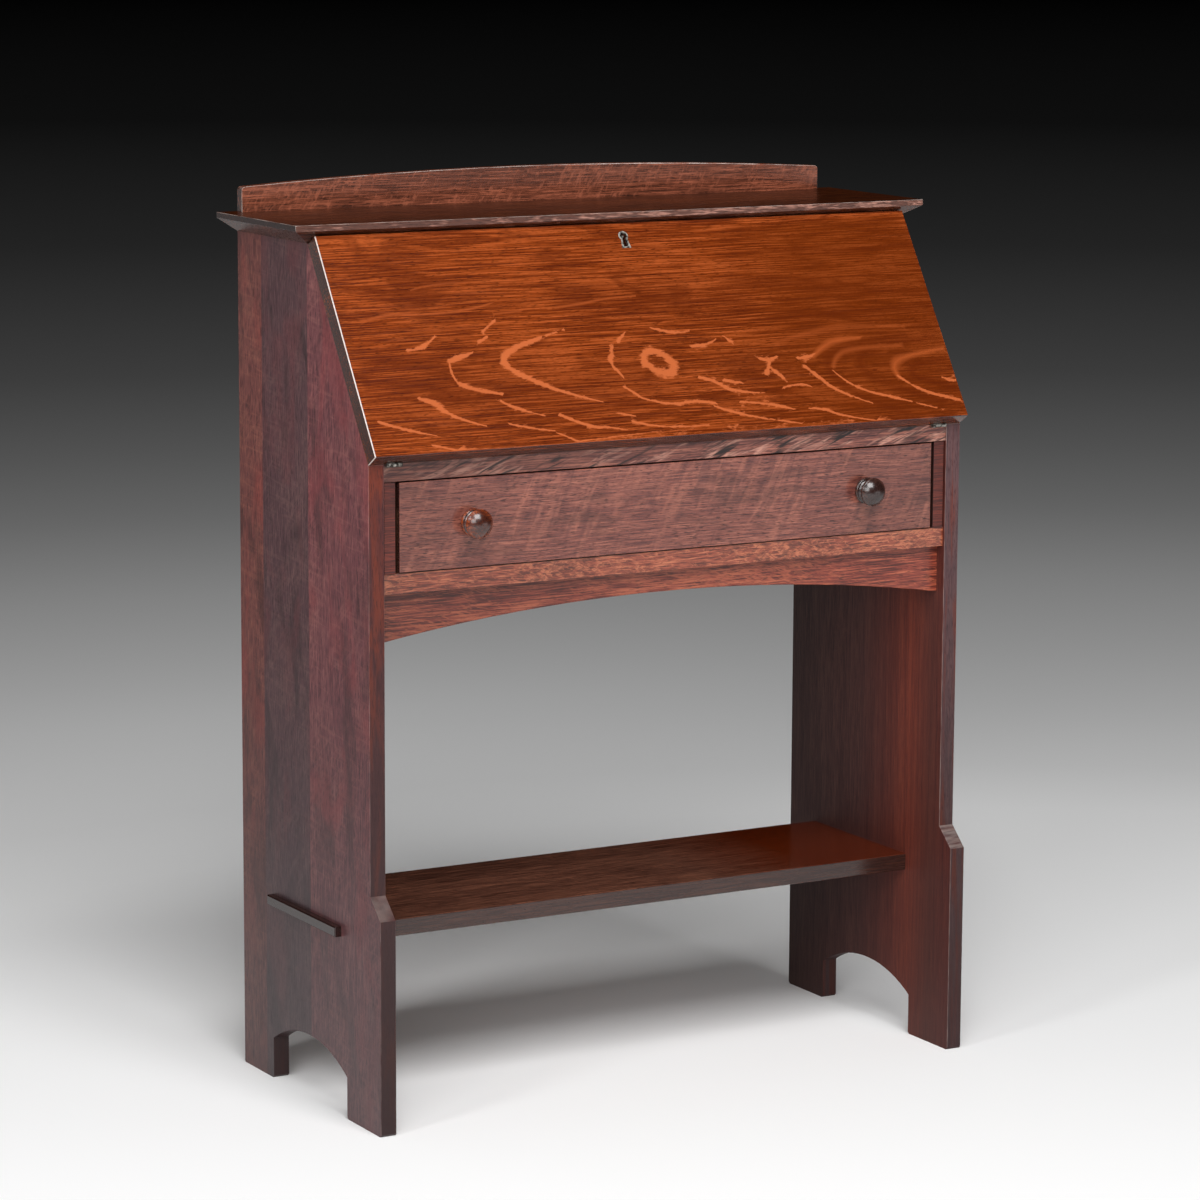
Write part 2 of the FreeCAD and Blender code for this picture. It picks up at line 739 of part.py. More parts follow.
def drawer_case():
    """Rails, runners, guide strips and stops around the drawer and the pull-out supports."""
    rail = board("drawer_rail", "-inner_half", "inner_half", "rail_front_y", "rail_back_y",
                 "rail_bottom", "runner_top")
    dress(rail, "Fillet", "fine_rounding",
          lambda edge: lies_at(edge, "Y", "rail_front_y") and edge.BoundBox.XLength > TOLERANCE)
    rear = board("rear_rail", "-inner_half", "inner_half", "rear_rail_y", "back_front_y",
                 "rail_bottom", "runner_top")
    subtract("rear_rail", rear, back_row("rear_rail_hole", RAIL_EDGE, hole=True))
    for name, side in SIDES:
        board("drawer_runner_" + name, *mirrored(side, "inner_half - runner_width", "inner_half"),
              "rail_back_y", "rear_rail_y", "runner_top - runner_thickness", "runner_top")
        board("guide_strip_" + name, *mirrored(side, "guide_inner", "guide_outer"),
              "front_y + guide_setback", "back_front_y", "runner_top", "guide_top")
        board("loper_stop_" + name, *mirrored(side, "guide_inner", "guide_outer"),
              "stop_block_rear_y - stop_block_length", "stop_block_rear_y", "guide_top", "bed_bottom")
        board("drawer_stop_" + name,
              *mirrored(side, "drawer_side_outer - drawer_stop_width", "drawer_side_outer"),
              "drawer_rear_y + run_gap", "back_front_y", "runner_top", "runner_top + drawer_stop_height")
        board("apron_block_" + name, *mirrored(side, "inner_half - apron_block_size", "inner_half"),
              "apron_y + apron_thickness", "apron_y + apron_thickness + apron_block_size",
              "rail_bottom - apron_block_size", "rail_bottom")


def apron():
    """The arched apron, set back under the drawer rail."""
    outline = [
        ("-inner_half", "rail_bottom - apron_end_height"),
        ("inner_half", "rail_bottom - apron_end_height", "apron_rise"),
        ("inner_half", "rail_bottom"),
        ("-inner_half", "rail_bottom"),
    ]
    made = add(new_body("apron"), "XZ", outline, "apron_y", "apron_y + apron_thickness")
    keep("apron", dress(made, "Chamfer", "fine_rounding", lambda edge: edge.Curve.TypeId == "Part::GeomCircle"))


def back_boards():
    """Upright boards in the rabbets of the sides, closing the case behind."""
    screws = []
    for number, name in enumerate(("left", "middle", "right")):
        low = "-back_half_width + %d * back_board_pitch" % number
        made = board("back_board_" + name, low, "(%s) + back_board_width" % low,
                     "back_front_y", "rear_y", "rail_bottom", "case_height")
        holes = []
        for row, height in (("bed", BED_EDGE), ("rail", RAIL_EDGE)):
            holes += back_screws("back_%s_hole_%s" % (row, name), height, number, hole=True)
            screws += back_screws("back_%s_screw_%s" % (row, name), height, number)
        subtract("back_board_" + name, made, holes)
    screw_group("back_screws", screws)


def top_cleats():
    """Strips inside the sides that the top is screwed to from below."""
    screws = []
    for name, side in SIDES:
        made = board("top_cleat_" + name, *mirrored(side, "inner_half - top_cleat_width", "inner_half"),
                     "slope_top_y + top_cleat_inset", "back_front_y", "cleat_bottom", "case_height")
        subtract("top_cleat_" + name, made, cleat_screws("cleat_bore_" + name, side, hole=True))
        screws += cleat_screws("cleat_screw_" + name, side)
    screw_group("top_cleat_screws", screws)


def shelf():
    """The low shelf; its tenons pass through the sides and stand proud, with eased ends."""
    made = add(new_body("shelf"), "XY", box("-inner_half", "shelf_y", "inner_half", "shelf_y + shelf_depth"),
               "shelf_height - shelf_thickness", "shelf_height")

    def long_arris(edge):
        in_edge = lies_at(edge, "Y", "shelf_y") or lies_at(edge, "Y", "shelf_y + shelf_depth")
        return in_edge and edge.BoundBox.XLength > TOLERANCE

    def tenon_end(edge):
        return lies_at(edge, "X", "tenon_half_width") or lies_at(edge, "X", "-tenon_half_width")

    dress(made, "Fillet", "edge_rounding", long_arris)
    tenon = box("-tenon_half_width", "tenon_y", "tenon_half_width", "tenon_end_y")
    add(made, "XY", tenon, "tenon_bottom", "tenon_top")
    keep("shelf", dress(made, "Chamfer", "tenon_chamfer", tenon_end))


def pull_out_supports():
    """The two lopers beside the drawer, each with the peg that stops it."""
    for name, side in SIDES:
        made = add(new_body("loper_" + name), "YZ",
                   box("loper_y", "drawer_side_bottom", "loper_rear_y", "loper_top"),
                   *mirrored(side, "loper_inner", "loper_outer"))
        dress(made, "Fillet", "fine_rounding", lambda edge: lies_at(edge, "Y", "loper_y"))
        seat = mirrored(side, "loper_inner", "loper_inner + peg_seat")
        keep("loper_" + name, cut(made, "YZ", ("peg_y", "peg_z", "peg_radius + peg_fit"), *seat))
        peg = new_body("loper_peg_" + name)
        reach = mirrored(side, "guide_inner + guide_gap", "loper_inner + peg_seat")
        keep("loper_peg_" + name, add(peg, "YZ", ("peg_y", "peg_z", "peg_radius"), *reach))


def drawer():
    """The drawer: lapped front, two sides, a back, and a bottom held in grooves."""
    front = add(new_body("drawer_front"), "XZ",
                box("-drawer_half", "drawer_front_bottom", "drawer_half", "drawer_front_top"),
                "drawer_y", "drawer_front_back_y")
    dress(front, "Fillet", "fine_rounding", lambda edge: lies_at(edge, "Y", "drawer_y"))
    for name, side in SIDES:
        low, high = mirrored(side, "drawer_side_inner", "drawer_half")
        cut(front, "XY", box(low, "drawer_side_y", high, "drawer_front_back_y"),
            "drawer_front_bottom", "drawer_front_top")
        spigot = ("%d * knob_spacing / 2" % side, "knob_z", "knob_spigot_radius + spigot_fit")
        cut(front, "XZ", spigot, "drawer_y", "drawer_y + knob_spigot_length + spigot_fit")
    front_groove = box("drawer_front_back_y - drawer_groove", "drawer_floor",
                       "drawer_front_back_y", "groove_top")
    cut(front, "YZ", front_groove, "-drawer_side_inner", "drawer_side_inner")
    keep("drawer_front", front)
    for name, side in SIDES:
        made = board("drawer_side_" + name, *mirrored(side, "drawer_side_inner", "drawer_side_outer"),
                     "drawer_side_y", "drawer_rear_y", "drawer_side_bottom", "drawer_side_top")
        low, high = mirrored(side, "drawer_side_inner", "drawer_side_inner + drawer_groove")
        cut(made, "XZ", box(low, "drawer_floor", high, "groove_top"), "drawer_side_y", "drawer_rear_y")
    board("drawer_back", "-drawer_side_inner", "drawer_side_inner",
          "drawer_rear_y - drawer_back_thickness", "drawer_rear_y",
          "groove_top", "drawer_side_top - drawer_back_top_gap")
    floor_half = "(drawer_side_inner + drawer_groove - groove_fit)"
    floor = [
        ("-drawer_side_inner + groove_fit", "drawer_front_back_y - drawer_groove + groove_fit"),
        ("drawer_side_inner - groove_fit", "drawer_front_back_y - drawer_groove + groove_fit"),
        ("drawer_side_inner - groove_fit", "drawer_front_back_y"),
        (floor_half, "drawer_front_back_y"),
        (floor_half, "drawer_rear_y"),
        ("-" + floor_half, "drawer_rear_y"),
        ("-" + floor_half, "drawer_front_back_y"),
        ("-drawer_side_inner + groove_fit", "drawer_front_back_y"),
    ]
    keep("drawer_bottom", add(new_body("drawer_bottom"), "XY", floor, "drawer_floor", "drawer_floor_top"))


def knobs():
    """Turned mushroom knobs: a flange against the drawer front, a neck, and a domed head."""
    outline = [
        ("0", "-knob_spigot_length"),
        ("knob_spigot_radius", "-knob_spigot_length"),
        ("knob_spigot_radius", "0"),
        ("knob_flange_radius", "0"),
        ("knob_flange_radius", "knob_flange_height", "-knob_flange_bulge"),
        ("knob_neck_radius", "knob_neck_height", "knob_neck_hollow"),
        ("knob_face_radius", "knob_rim_height - knob_rim", "knob_cove"),
        ("knob_face_radius", "knob_rim_height", "-knob_lip"),
        ("0", "knob_projection", "-knob_dome_rise"),
    ]
    for name, side in SIDES:
        made = turned("drawer_knob_" + name, outline)
        place(made, "%d * knob_spacing / 2" % side, "drawer_y", "knob_z", "90")
        keep("drawer_knob_" + name, made)


def keyhole(head, neck, foot, drop, grow="0"):
    """A keyhole outline on the fall: a round head over a foot that spreads."""
    half_neck = "(%s + %s)" % (neck, grow)
    radius = "(%s + %s)" % (head, grow)
    neck_fall = "sqrt(%s^2 - %s^2)" % (radius, half_neck)
    bottom = "keyhole_y - (%s) - %s" % (drop, grow)
    return [
        ("-(%s) - %s" % (foot, grow), bottom),
        ("%s + %s" % (foot, grow), bottom),
        (half_neck, "keyhole_y - " + neck_fall),
        ("-" + half_neck, "keyhole_y - " + neck_fall, "-(%s + %s)" % (radius, neck_fall)),
    ]


def escutcheon_outline(grow="0"):
    return keyhole("escutcheon_head", "escutcheon_neck", "escutcheon_foot", "escutcheon_drop", grow)


def key_slot_outline():
    return keyhole("escutcheon_head - escutcheon_rim", "escutcheon_neck - escutcheon_rim",
                   "escutcheon_foot - escutcheon_foot_rim", "escutcheon_drop - escutcheon_rim")


def fall_board():
    """The fall: a plain square-edged board as wide as the desk, lying on the slope."""
    made = add(new_body("fall_board"), "XY", box("-half_width", "fall_bottom_gap", "half_width", "fall_top"),
               "0", "fall_thickness")

    def outer_arris(edge):
        at_end = lies_at(edge, "X", "half_width") or lies_at(edge, "X", "-half_width")
        return lies_at(edge, "Z", "fall_thickness") or (at_end and edge.BoundBox.ZLength > TOLERANCE)

    dress(made, "Fillet", "edge_rounding", outer_arris)
    for side in (-1, 1):
        cut(made, "YZ", ("0", "0", "notch_radius"), *knuckle_span(side))
        cut(made, "YZ", box("0", "0", "leaf_width + leaf_fit", "leaf_thickness"), *leaf_span(side))
    plate_half = "lock_half_width + leaf_fit"
    box_half = "lock_box + lock_fit"
    plate = box("-(%s)" % plate_half, "lock_low - leaf_fit", plate_half, "fall_top")
    lock_body = box("-(%s)" % box_half, "lock_low + lock_ear - lock_fit", box_half, "fall_top")
    selvedge = box("-(%s)" % plate_half, "selvedge_low", plate_half, "fall_top")
    cut(made, "XY", plate, "0", "lock_plate")
    cut(made, "XY", lock_body, "0", "lock_depth + lock_fit")
    cut(made, "XY", selvedge, "0", "lock_depth + lock_fit")
    cut(made, "XY", key_slot_outline(), "lock_depth", "fall_thickness")
    cut(made, "XY", escutcheon_outline("leaf_fit"), "fall_thickness - escutcheon_depth", "fall_thickness")
    place_on_fall(made)
    holes = lock_screws("fall_lock_hole", hole=True)
    for name, side in SIDES:
        holes += hinge_screws("fall_hinge_hole_" + name, side, on_fall=True, hole=True)
    subtract("fall_board", made, holes)
    let_in = ("fall_thickness - escutcheon_depth", "fall_thickness + escutcheon_proud")
    ring = add(new_body("escutcheon"), "XY", escutcheon_outline(), *let_in)
    cut(ring, "XY", key_slot_outline(), *let_in)
    keep("escutcheon", place_on_fall(ring))


def lock():
    """A half-mortise lock: plate and selvedge flush with the fall, a box, the key pin and a forked bolt."""
    made = add(new_body("lock_case"), "XY", box("-lock_half_width", "lock_low", "lock_half_width", "fall_top"),
               "0", "lock_plate")
    add(made, "XY", box("-lock_half_width", "selvedge_low", "lock_half_width", "fall_top"), "0", "lock_depth")
    add(made, "XY", box("-lock_box", "lock_low + lock_ear", "lock_box", "fall_top"), "0", "lock_depth")
    hollow = box("-lock_box + lock_wall", "lock_low + lock_ear + lock_wall",
                 "lock_box - lock_wall", "selvedge_low")
    cut(made, "XY", hollow, "lock_plate", "lock_depth")
    add(made, "XY", ("0", "keyhole_y", "key_pin_radius"), "0", "fall_thickness - escutcheon_depth")
    cut(made, "XZ", bolt_way(), "selvedge_low", "fall_top")
    place_on_fall(made)
    subtract("lock_case", made, lock_screws("lock_plate_hole", hole=True))
    screw_group("lock_screws", lock_screws("lock_screw"))
    bolt = [
        ("-bolt_half_width", "bolt_foot"),
        ("bolt_leg_width - bolt_half_width", "bolt_foot"),
        ("bolt_leg_width - bolt_half_width", "bolt_shoulder"),
        ("bolt_half_width - bolt_leg_width", "bolt_shoulder"),
        ("bolt_half_width - bolt_leg_width", "bolt_foot"),
        ("bolt_half_width", "bolt_foot"),
        ("bolt_half_width", "bolt_top"),
        ("-bolt_half_width", "bolt_top"),
    ]
    slide = add(new_body("lock_bolt"), "XY", bolt, "bolt_low", "bolt_high")
    keep("lock_bolt", place_on_fall(slide))
    keeper = add(new_body("lock_keeper"), "XZ",
                 box("-keeper_half_width", "keeper_low", "keeper_half_width", "keeper_high"),
                 "slope_length", "slope_length + lock_plate")
    cut(keeper, "XZ", bolt_way(), "slope_length", "slope_length + lock_plate")
    place_on_fall(keeper)
    subtract("lock_keeper", keeper, keeper_screws("keeper_plate_hole", hole=True))
    screw_group("keeper_screws", keeper_screws("keeper_screw"))


def hinge_leaf(label, side, on_fall):
    """One leaf, its pin along X through its own origin and its plate towards +Y, let in flush with Z 0.

    The bed's leaf lies under its face and has the two outer knuckles, the fall's leaf has the middle one.
    """
    made = new_body(label)
    step = "hinge_start + %d * (knuckle_length + knuckle_gap)"
    knuckles = [(step % place_in_row, step % place_in_row + " + knuckle_length")
                for place_in_row in ((1,) if on_fall else (0, 2))]
    faces = ("0", "leaf_thickness") if on_fall else ("-leaf_thickness", "0")
    low, high = mirrored(side, "hinge_start", "hinge_end")
    add(made, "XY", box(low, "notch_radius", high, "leaf_width"), *faces)
    for knuckle in knuckles:
        low, high = mirrored(side, *knuckle)
        add(made, "XY", box(low, "0", high, "notch_radius"), *faces)
        add(made, "YZ", ("0", "0", "knuckle_radius"), low, high)
    for knuckle in knuckles:
        cut(made, "YZ", ("0", "0", "pin_radius + pin_clearance"), *mirrored(side, *knuckle))
    if on_fall:
        return place_on_fall(made)
    return place(made, "0", "front_y", "writing_height")


def hinges():
    """Two small butt hinges under the lower corners of the fall, each with its pin and screws."""
    for where, on_fall in (("bed", False), ("fall", True)):
        screws = []
        for name, side in SIDES:
            label = "hinge_%s_leaf_%s" % (where, name)
            leaf = hinge_leaf(label, side, on_fall)
            subtract(label, leaf, hinge_screws(label + "_hole", side, on_fall, hole=True))
            screws += hinge_screws("hinge_%s_screw_%s" % (where, name), side, on_fall)
        screw_group("hinge_%s_screws" % where, screws)
    for name, side in SIDES:
        pin = add(new_body("hinge_pin_" + name), "YZ", ("0", "0", "pin_radius"),
                  *mirrored(side, "hinge_start", "hinge_end"))
        keep("hinge_pin_" + name, place(pin, "0", "front_y", "writing_height"))


def pigeonholes():
    """A shelf over four dividers, with their front edges scooped."""
    board("pigeonhole_shelf", "-inner_half", "inner_half", "pigeonhole_y", "back_front_y",
          "pigeonhole_top", "pigeonhole_top + pigeonhole_shelf_thickness")
    outline = [
        ("back_front_y", "writing_height"),
        ("back_front_y", "pigeonhole_top"),
        ("pigeonhole_y", "pigeonhole_top"),
        ("pigeonhole_y", "writing_height", "divider_scoop"),
    ]
    for number in range(1, DIVIDERS + 1):
        name = "pigeonhole_divider_%d" % number
        middle = "inner_half * (2 * %d / %d - 1)" % (number, DIVIDERS + 1)
        keep(name, add(new_body(name), "YZ", outline, "%s - divider_thickness / 2" % middle,
                       "%s + divider_thickness / 2" % middle))


def check_document():
    """Stops the script where an object failed or a sub-part has no sound shape."""
    doc.recompute()
    for made in doc.Objects:
        if "Invalid" in made.State or "Error" in made.State:
            raise RuntimeError("%s did not compute: %s" % (made.Label, made.State))
    for label, made in nodes.items():
        if made.Shape.isNull() or not made.Shape.isValid() or not made.Shape.Solids:
            raise RuntimeError("%s has no sound shape" % label)


def write_parts():
    os.makedirs("parts", exist_ok=True)
    for label, made in nodes.items():
        made.Shape.exportStep("parts/%s.step" % label)
    print("%d sub-parts written" % len(nodes))


fill_sheet()
side_panels()
top_board()
gallery_rail()
writing_bed()
drawer_case()
apron()
back_boards()
top_cleats()
shelf()
pull_out_supports()
drawer()
knobs()
fall_board()
lock()
hinges()
pigeonholes()
check_document()
write_parts()
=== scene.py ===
"""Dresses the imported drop-front desk: fumed oak, a figured fall, turned knobs, aged steel and a stage."""
import json
import math

import bmesh
import bpy
from mathutils import Matrix, Vector, geometry

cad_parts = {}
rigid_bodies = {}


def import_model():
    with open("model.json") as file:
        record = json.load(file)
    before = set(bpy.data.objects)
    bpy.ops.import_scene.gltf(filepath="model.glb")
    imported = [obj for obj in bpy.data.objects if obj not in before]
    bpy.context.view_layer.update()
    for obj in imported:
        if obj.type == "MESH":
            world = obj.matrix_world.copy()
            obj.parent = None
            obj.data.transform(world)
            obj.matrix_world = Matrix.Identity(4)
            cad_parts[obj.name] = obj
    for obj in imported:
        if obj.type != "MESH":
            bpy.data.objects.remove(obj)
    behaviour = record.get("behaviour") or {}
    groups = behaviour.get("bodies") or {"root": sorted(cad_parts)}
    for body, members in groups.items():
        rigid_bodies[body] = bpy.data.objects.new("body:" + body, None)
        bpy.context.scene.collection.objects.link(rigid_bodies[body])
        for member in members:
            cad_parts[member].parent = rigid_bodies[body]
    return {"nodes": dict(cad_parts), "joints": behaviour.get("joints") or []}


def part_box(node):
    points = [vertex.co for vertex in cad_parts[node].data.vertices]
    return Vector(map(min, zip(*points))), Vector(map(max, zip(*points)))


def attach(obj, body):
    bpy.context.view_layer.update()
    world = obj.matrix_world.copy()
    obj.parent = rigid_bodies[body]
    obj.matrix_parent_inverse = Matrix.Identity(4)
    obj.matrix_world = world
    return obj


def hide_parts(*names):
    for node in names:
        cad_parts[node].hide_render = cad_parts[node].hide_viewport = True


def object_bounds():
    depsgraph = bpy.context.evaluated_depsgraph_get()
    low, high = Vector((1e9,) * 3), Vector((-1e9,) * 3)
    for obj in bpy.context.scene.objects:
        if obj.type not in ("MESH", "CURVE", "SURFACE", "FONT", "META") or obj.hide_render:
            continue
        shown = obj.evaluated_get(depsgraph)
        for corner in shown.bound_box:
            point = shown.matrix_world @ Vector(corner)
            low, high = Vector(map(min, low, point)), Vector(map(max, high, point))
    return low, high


bl_info = {
    "name": "Drop-front desk",
    "version": (1, 0, 0),
    "blender": (4, 5, 0),
    "location": "View3D > Sidebar > Desk",
    "description": "Gives the packed desk its woods, metals, screws and stage",
    "category": "Object",
}

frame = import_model()
cad_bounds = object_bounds()
nodes = frame["nodes"]

MM = 0.001
# Inputs of the colour Mix node.
MIX_A = 6
MIX_B = 7

# The fall's own frame: x along the hinge, y up the slope, z out from the board's back.
HINGE = next(joint for joint in frame["joints"] if joint["name"] == "fall_hinge")
BOLT = next(joint for joint in frame["joints"] if joint["name"] == "bolt_slide")
FALL_TURN = math.atan2(BOLT["axis"][2], BOLT["axis"][1])
FALL_FRAME = Matrix.Translation(HINGE["pos_m"]) @ Matrix.Rotation(FALL_TURN, 4, "X")
UP_SLOPE = FALL_FRAME.to_3x3() @ Vector((0.0, 1.0, 0.0))
OUT_OF_FALL = FALL_FRAME.to_3x3() @ Vector((0.0, 0.0, 1.0))


def linear(code):
    """An sRGB hex colour as linear red, green and blue."""
    channels = [int(code[place:place + 2], 16) / 255 for place in (1, 3, 5)]
    return [c / 12.92 if c <= 0.04045 else ((c + 0.055) / 1.055) ** 2.4 for c in channels]


def colour(name, description, code):
    return bpy.props.FloatVectorProperty(
        name=name, description=description, subtype="COLOR", min=0, max=1, default=linear(code))


def length(name, description, millimetres):
    return bpy.props.FloatProperty(
        name=name, description=description, unit="LENGTH", min=0, default=millimetres * MM)


def power(name, description, watts):
    return bpy.props.FloatProperty(
        name=name, description=description, unit="POWER", min=0, default=watts)


# The deep, main and pale colours of each wood, after its label and the pieces that have it.
TONES = {"deep": "Dark grain", "main": "Body colour", "pale": "Pale grain"}
WOODS = {
    "fall": ("Fall", "the fall", "#561D05", "#76300C", "#A04C22"),
    "side": ("Left side", "the left side", "#402125", "#744348", "#9C6761"),
    "inside": ("Right side", "the right side", "#4A2125", "#82454A", "#A86761"),
    "top": ("Top", "the top", "#200B04", "#3A1506", "#5A2A0E"),
    "shelf": ("Shelf", "the low shelf", "#381D15", "#603C30", "#8D5A45"),
    "rail": ("Gallery", "the top's rail", "#3A1A0E", "#6B3826", "#9C5840"),
    "front": ("Front", "the drawer front and the bed", "#4A2626", "#78443A", "#A06250"),
    "band": ("Lower rail", "the rail under the drawer", "#522417", "#863C29", "#B46848"),
    "apron": ("Apron", "the arched apron", "#4C201A", "#82382B", "#B05E42"),
    "loper": ("Supports", "the pull-out supports", "#3A1410", "#4E1D16", "#6A2C20"),
    "inner": ("Inner wood", "the plain inner boards", "#6E452A", "#8E6040", "#A87A52"),
    "knob": ("Left knob", "the brown left knob", "#4A1C0C", "#7E3518", "#AC5428"),
    "dark_knob": ("Right knob", "the darker right knob", "#1E1210", "#3A241E", "#5E3E34"),
}


class DeskWoods(bpy.types.PropertyGroup):
    """Colours of the woods and how coarse their grain is."""
    fall_calm: colour("Fall, calm end", "Smooth brown right end of the fall", "#5E2304")
    fleck: colour("Ray flecks", "Bright ray flecks of the fall", "#BA6034")
    side_edge: colour("Left side, front edge", "Dark wood of the left side's front edge", "#3A1614")
    side_glow: colour("Sides, flames", "Orange flames of the sides' front edges", "#6E2C18")
    side_red: colour("Left side, red", "Red glows of the left side", "#904345")
    # The left side turns darker and greyer towards the floor, below the dark_foot height.
    side_foot: colour("Left side, foot", "Grey colour of the left side by the floor", "#332C2E")
    inside_edge: colour("Right side, front edge", "Grey wood of the right side's front edge", "#4A3B3D")
    top_edge: colour("Top, front edge", "Brown front edge of the top", "#58362C")
    # The shelf's right end: partly the wood's warmer tone, partly painted light falling on it.
    shelf_tone_and_light: colour("Shelf, right end", "Warm brown right end of the low shelf", "#561C04")
    bed_smudge: colour("Bed, smudges", "Dark smudges on the writing bed's edge", "#180A08")
    bed_pale: colour("Bed, pale", "Pale wood between the bed's smudges", "#C08A78")
    # True end grain on board ends, and painted shade on edges in gaps and in narrow lines where boards meet
    # the sides.
    end_grain_and_shade: colour("End grain", "Dark end grain that drank more of the stain, and painted shade on edges in gaps", "#251412")
    # Arrises turn this pale partly where they are worn and partly as a painted highlight where the lamps
    # catch them.
    arris: colour("Arrises", "Pale edges, partly worn and partly a painted highlight", "#CFC2BA")
    grain_pitch: length("Grain pitch", "Space between the fine lines of the grain", 1.4)
    pore_length: length("Pore length", "Length of the dark pores along the grain", 9.0)
    pore_width: length("Pore width", "Width of the dark pores, drawn as coarse as the render needs", 0.8)
    # Width of the painted highlight along the fall's left arris.
    highlight_width: length("Left arris highlight", "Width of the pale strip along the fall's left arris", 1.7)
    # Below this height the sides turn darker towards the floor.
    dark_foot: length("Dark feet", "Height to which the feet grow darker towards the floor", 750.0)
    # Stretches of pale arris, worn and painted highlight alike.
    worn_and_lit_stretch: length("Arris wear", "Length of the worn stretches along the arrises", 25.0)


for wood, (label, pieces, *codes) in WOODS.items():
    for (tone, words), code in zip(TONES.items(), codes):
        DeskWoods.__annotations__["%s_%s" % (wood, tone)] = colour(
            "%s, %s" % (label, tone), "%s of %s" % (words, pieces), code)


class DeskMetals(bpy.types.PropertyGroup):
    """Colours and sizes of the metal pieces."""
    steel: colour("Steel", "Aged steel of the hinges, the lock and the screws", "#C0BCB4")
    tarnish: colour("Tarnish", "Dark tarnish in the metal's low places", "#403C37")
    plate: colour("Escutcheon", "Worn bright rim of the keyhole", "#D0CCC4")
    slot_width: length("Screw slot", "Width of the slot in a screw's head", 0.8)
    slot_depth: length("Slot depth", "Depth of the slot in a screw's head", 0.7)


class DeskStage(bpy.types.PropertyGroup):
    """The floor and the light."""
    floor: colour("Floor", "Pale floor near the desk", "#FAFAFA")
    key_power: power("Key light", "Power of the high lamp in front of the desk", 235.0)
    fill_power: power("Fill light", "Power of the large lamp at the front left", 130.0)
    strip_power: power("Strip light", "Power of the narrow lamp at the left", 25.0)
    rim_power: power("Rim light", "Power of the low lamp behind the desk at its left", 5.5)
    panel_power: power("Front panel", "Power of the low white panel at the front right", 7.0)
    ambient: bpy.props.FloatProperty(
        name="Ambient", description="Brightness of the room's scattered light", min=0, max=1, default=0.1)


def opaque(rgb):
    return (rgb[0], rgb[1], rgb[2], 1.0)


def add_node(tree, kind, inputs=None, stops=(), **settings):
    """Adds a node with its settings, and sets or links its inputs by name or number.

    A node that is given for an input is linked by its first output in use.
    """
    node = tree.nodes.new(kind)
    for name, setting in settings.items():
        setattr(node, name, setting)
    for name, given in (inputs or {}).items():
        socket = node.inputs[name]
        if isinstance(given, bpy.types.Node):
            given = next(output for output in given.outputs if output.enabled)
        if isinstance(given, bpy.types.NodeSocket):
            tree.links.new(given, socket)
        else:
            socket.default_value = opaque(given) if socket.type == "RGBA" else given
    for number, (place, shade) in enumerate(stops):
        elements = node.color_ramp.elements
        if number >= len(elements):
            elements.new(place)
        elements[number].position = place
        elements[number].color = opaque(shade)
    return node


def new_material(name):
    """A material without nodes, and its tree."""
    made = bpy.data.materials.new(name)
    made.use_nodes = True
    made.node_tree.nodes.clear()
    return made, made.node_tree


def marks(tree, spot, long, wide, turn=(0.0, 0.0, 0.0), detail=2.0, distortion=0.0):
    """A cloud drawn out to marks of a real length and width in millimetres."""
    drawn = add_node(tree, "ShaderNodeMapping", {
        "Vector": spot, "Rotation": turn, "Scale": (long, wide, wide)}, vector_type="TEXTURE")
    return add_node(tree, "ShaderNodeTexNoise", {
        "Vector": drawn, "Scale": 1.0, "Detail": detail, "Roughness": 0.6, "Distortion": distortion})


def facing_parts(tree, facing, in_fall):
    """How far the surface faces along each of the board's axes, without the sign."""
    if in_fall:
        facing = add_node(tree, "ShaderNodeMapping", {
            "Vector": facing, "Rotation": (-FALL_TURN, 0.0, 0.0)}, vector_type="NORMAL")
    sizes = add_node(tree, "ShaderNodeVectorMath", {0: facing}, operation="ABSOLUTE")
    return add_node(tree, "ShaderNodeSeparateXYZ", {"Vector": sizes}).outputs


def worn_and_lit_arrises(tree, spot, facing, parts, worn):
    """Up to worn on the rounded edges, which face along none of the board's axes, in stretches: partly
    rubbed, partly a painted highlight where the lamps catch the edges.

    Edges that face down stay dark: no highlight is painted where the lamps above don't reach.
    """
    stretch = bpy.context.scene.desk_woods.worn_and_lit_stretch / MM
    most = add_node(tree, "ShaderNodeMath", {0: parts["X"], 1: parts["Y"]}, operation="MAXIMUM")
    most = add_node(tree, "ShaderNodeMath", {0: most, 1: parts["Z"]}, operation="MAXIMUM")
    edge = add_node(tree, "ShaderNodeMapRange", {
        "Value": most, "From Min": 0.86, "From Max": 0.985, "To Min": worn, "To Max": 0.0})
    # Stretches along the arris where it turns pale, worn and painted highlight alike.
    rubbed = add_node(tree, "ShaderNodeMapRange", {
        "Value": marks(tree, spot, stretch, stretch), "From Min": 0.3, "From Max": 0.6})
    height = add_node(tree, "ShaderNodeSeparateXYZ", {"Vector": facing}).outputs["Z"]
    reached = add_node(tree, "ShaderNodeMapRange", {"Value": height, "From Min": -0.3, "From Max": -0.1})
    rubbed = add_node(tree, "ShaderNodeMath", {0: rubbed, 1: reached}, operation="MULTIPLY")
    return add_node(tree, "ShaderNodeMath", {0: edge, 1: rubbed}, operation="MULTIPLY")


